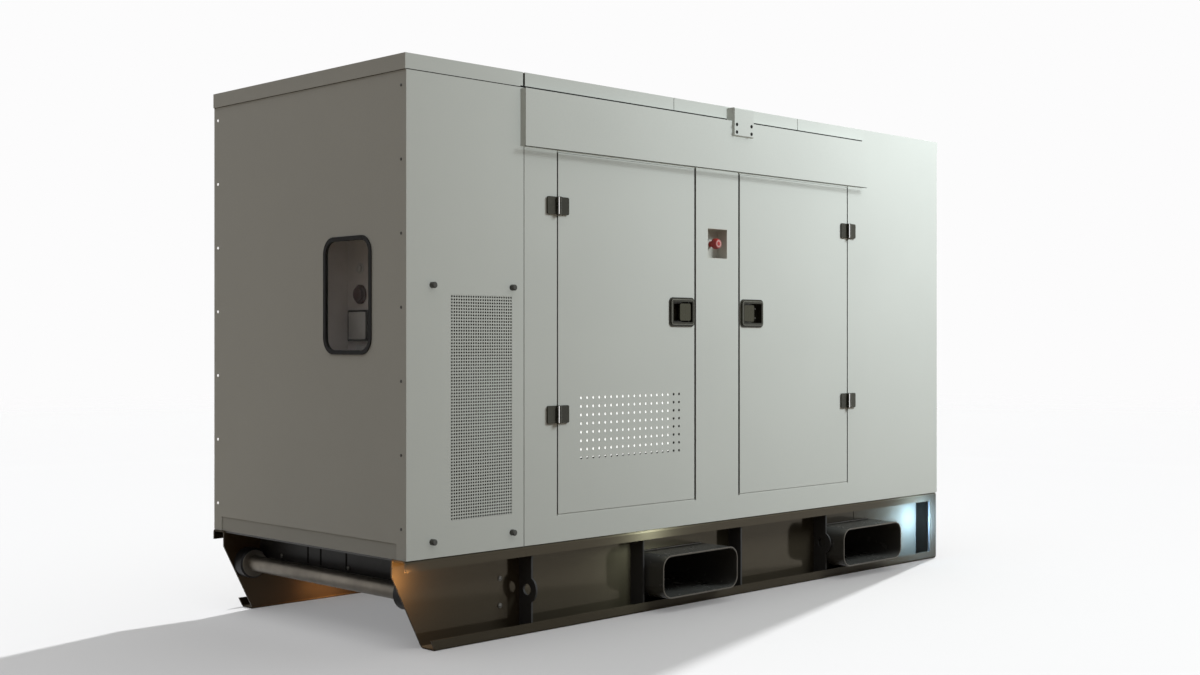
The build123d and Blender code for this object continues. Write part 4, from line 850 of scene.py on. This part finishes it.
# Lights: a sun from the air end for all, a panel on the near side, and small warm and cool ones on the rails and the
# floor. What "on" names is all that a lamp lights. The suns "floorSun" and "floorFill" only set the floor's own tone.
lamps = {
    "airEndSun": {"kind": "SUN", "place": (9.2, 2.6, 5.6), "target": (0, 0, 0), "angle": 2.0, "power": 1.8,
                  "colour": (1.0, 1.0, 1.0), "on": None, "glossy": False},
    "frontPanel": {"kind": "AREA", "place": (2.15, -3.06, 3.57), "target": (1.0, -0.565, 1.2), "size": 1.6,
                   "power": 216, "colour": (0.88, 0.95, 1.0), "on": "object", "glossy": False},
    "warmNose": {"kind": "AREA", "place": (-1.515, -0.575, 0.235), "target": (-1.49, -0.50, 0.22), "size": 0.04,
                 "power": 0.95, "colour": (1.0, 0.50, 0.17), "on": "base"},
    "warmInside": {"kind": "AREA", "place": (-1.06, 0.36, 0.03), "target": (-1.075, 0.5, 0.03), "size": 0.08,
                   "power": 0.9, "colour": (1.0, 0.44, 0.15), "on": "base"},
    "midGlow": {"kind": "AREA", "place": (-0.40, -0.68, 0.31), "target": (-0.40, -0.50, 0.23), "size": 0.06,
                "power": 1.6, "colour": (0.85, 1.0, 0.95), "on": "base"},
    "coolAirEnd": {"kind": "AREA", "place": (1.372, -0.600, 0.185), "target": (1.374, -0.50, 0.175), "size": 0.05,
                   "power": 9.0, "colour": (0.32, 0.58, 1.0), "on": "base"},
    "coolWide": {"kind": "AREA", "place": (1.30, -0.66, 0.21), "target": (1.30, -0.50, 0.20), "size": 0.12,
                 "power": 2.6, "colour": (0.55, 0.78, 1.0), "on": "base"},
    "coolStrip": {"kind": "AREA", "place": (1.43, -0.68, 0.17), "target": (1.46, -0.565, 0.17), "size": 0.05,
                  "power": 1.2, "colour": (0.32, 0.58, 1.0), "on": "base"},
    "underBase": {"kind": "AREA", "place": (-1.15, 0.05, 0.13), "target": (-1.15, 0.0501, 0.0), "size": 0.95,
                  "power": 0.42, "colour": (1.0, 1.0, 1.0), "on": "floor"},
    "floorSun": {"kind": "SUN", "place": (9.2, 2.6, 5.6), "target": (0, 0, 0), "angle": 2.0, "power": 2.5,
                 "colour": (1.0, 1.0, 1.0), "on": "floor"},
    "floorFill": {"kind": "SUN", "place": (0, 0, 9), "target": (0, 0.001, 0), "angle": 2.0, "power": 0.85,
                  "colour": (1.0, 1.0, 1.0), "on": "floor", "shadow": False},
}
lit = {name: bpy.data.collections.new(name + "Lit") for name in ("object", "base", "floor")}
lit["object"].objects.link(floorObject)
lit["object"].collection_objects[0].light_linking.link_state = "EXCLUDE"
lit["floor"].objects.link(floorObject)
# what casts no shadow in the front panel's light, because the photo's soft light swallows it
unshaded = bpy.data.collections.new("castsNoShadow")
for index, name in enumerate(("rain_hoods", "lifting_brackets", "panel_knobs")):
    unshaded.objects.link(nodes[name])
    unshaded.collection_objects[index].light_linking.link_state = "EXCLUDE"
for name in ("near_rail", "far_rail"):
    lit["base"].objects.link(nodes[name])
for name, lamp in lamps.items():
    data = bpy.data.lights.new(name, lamp["kind"])
    if lamp["kind"] == "SUN":
        data.angle = math.radians(lamp["angle"])
    else:
        data.size = lamp["size"]
    data.energy = lamp["power"]
    data.color = lamp["colour"]
    data.use_shadow = lamp.get("shadow", True)
    lampObject = bpy.data.objects.new(name, data)
    lampObject.location = lamp["place"]
    aim = np.array(lamp["target"], dtype=float) - np.array(lamp["place"])
    yaw, drop = math.atan2(aim[1], aim[0]), math.atan2(-aim[2], math.hypot(aim[0], aim[1]))
    lampObject.rotation_euler = (math.pi / 2 - drop, 0, yaw - math.pi / 2)
    bpy.context.scene.collection.objects.link(lampObject)
    if lamp["on"]:
        lampObject.light_linking.receiver_collection = lit[lamp["on"]]
    lampObject.visible_glossy = lamp.get("glossy", lamp["on"] != "base")
    if lamp["on"] == "object":
        lampObject.light_linking.blocker_collection = unshaded

# World: dim at the control end, bright overhead, and white where it is seen
sky = {"dim": (0.065, 0.047, 0.052), "bright": (0.335, 0.33, 0.305), "overhead": (1.02, 1.02, 1.01),
       "seen": (0.975, 0.972, 0.975)}
world = bpy.data.worlds.new("studio")
world.use_nodes = True
bpy.context.scene.world = world
w = Finish(world)
around = w.mix(w.ramp(w.coordinate("X", "Generated"), -0.6, 0.9), sky["dim"], sky["bright"])
glowColour = w.mix(w.ramp(w.coordinate("Z", "Generated"), 0.35, 0.95), around, sky["overhead"])
background = world.node_tree.nodes["Background"]
plug(w.tree, background.inputs["Color"], w.mix(seenDirectly(w), glowColour, sky["seen"]))
background.inputs["Strength"].default_value = 1.0
bpy.context.scene.view_settings.view_transform = "Standard"
print("stage made")
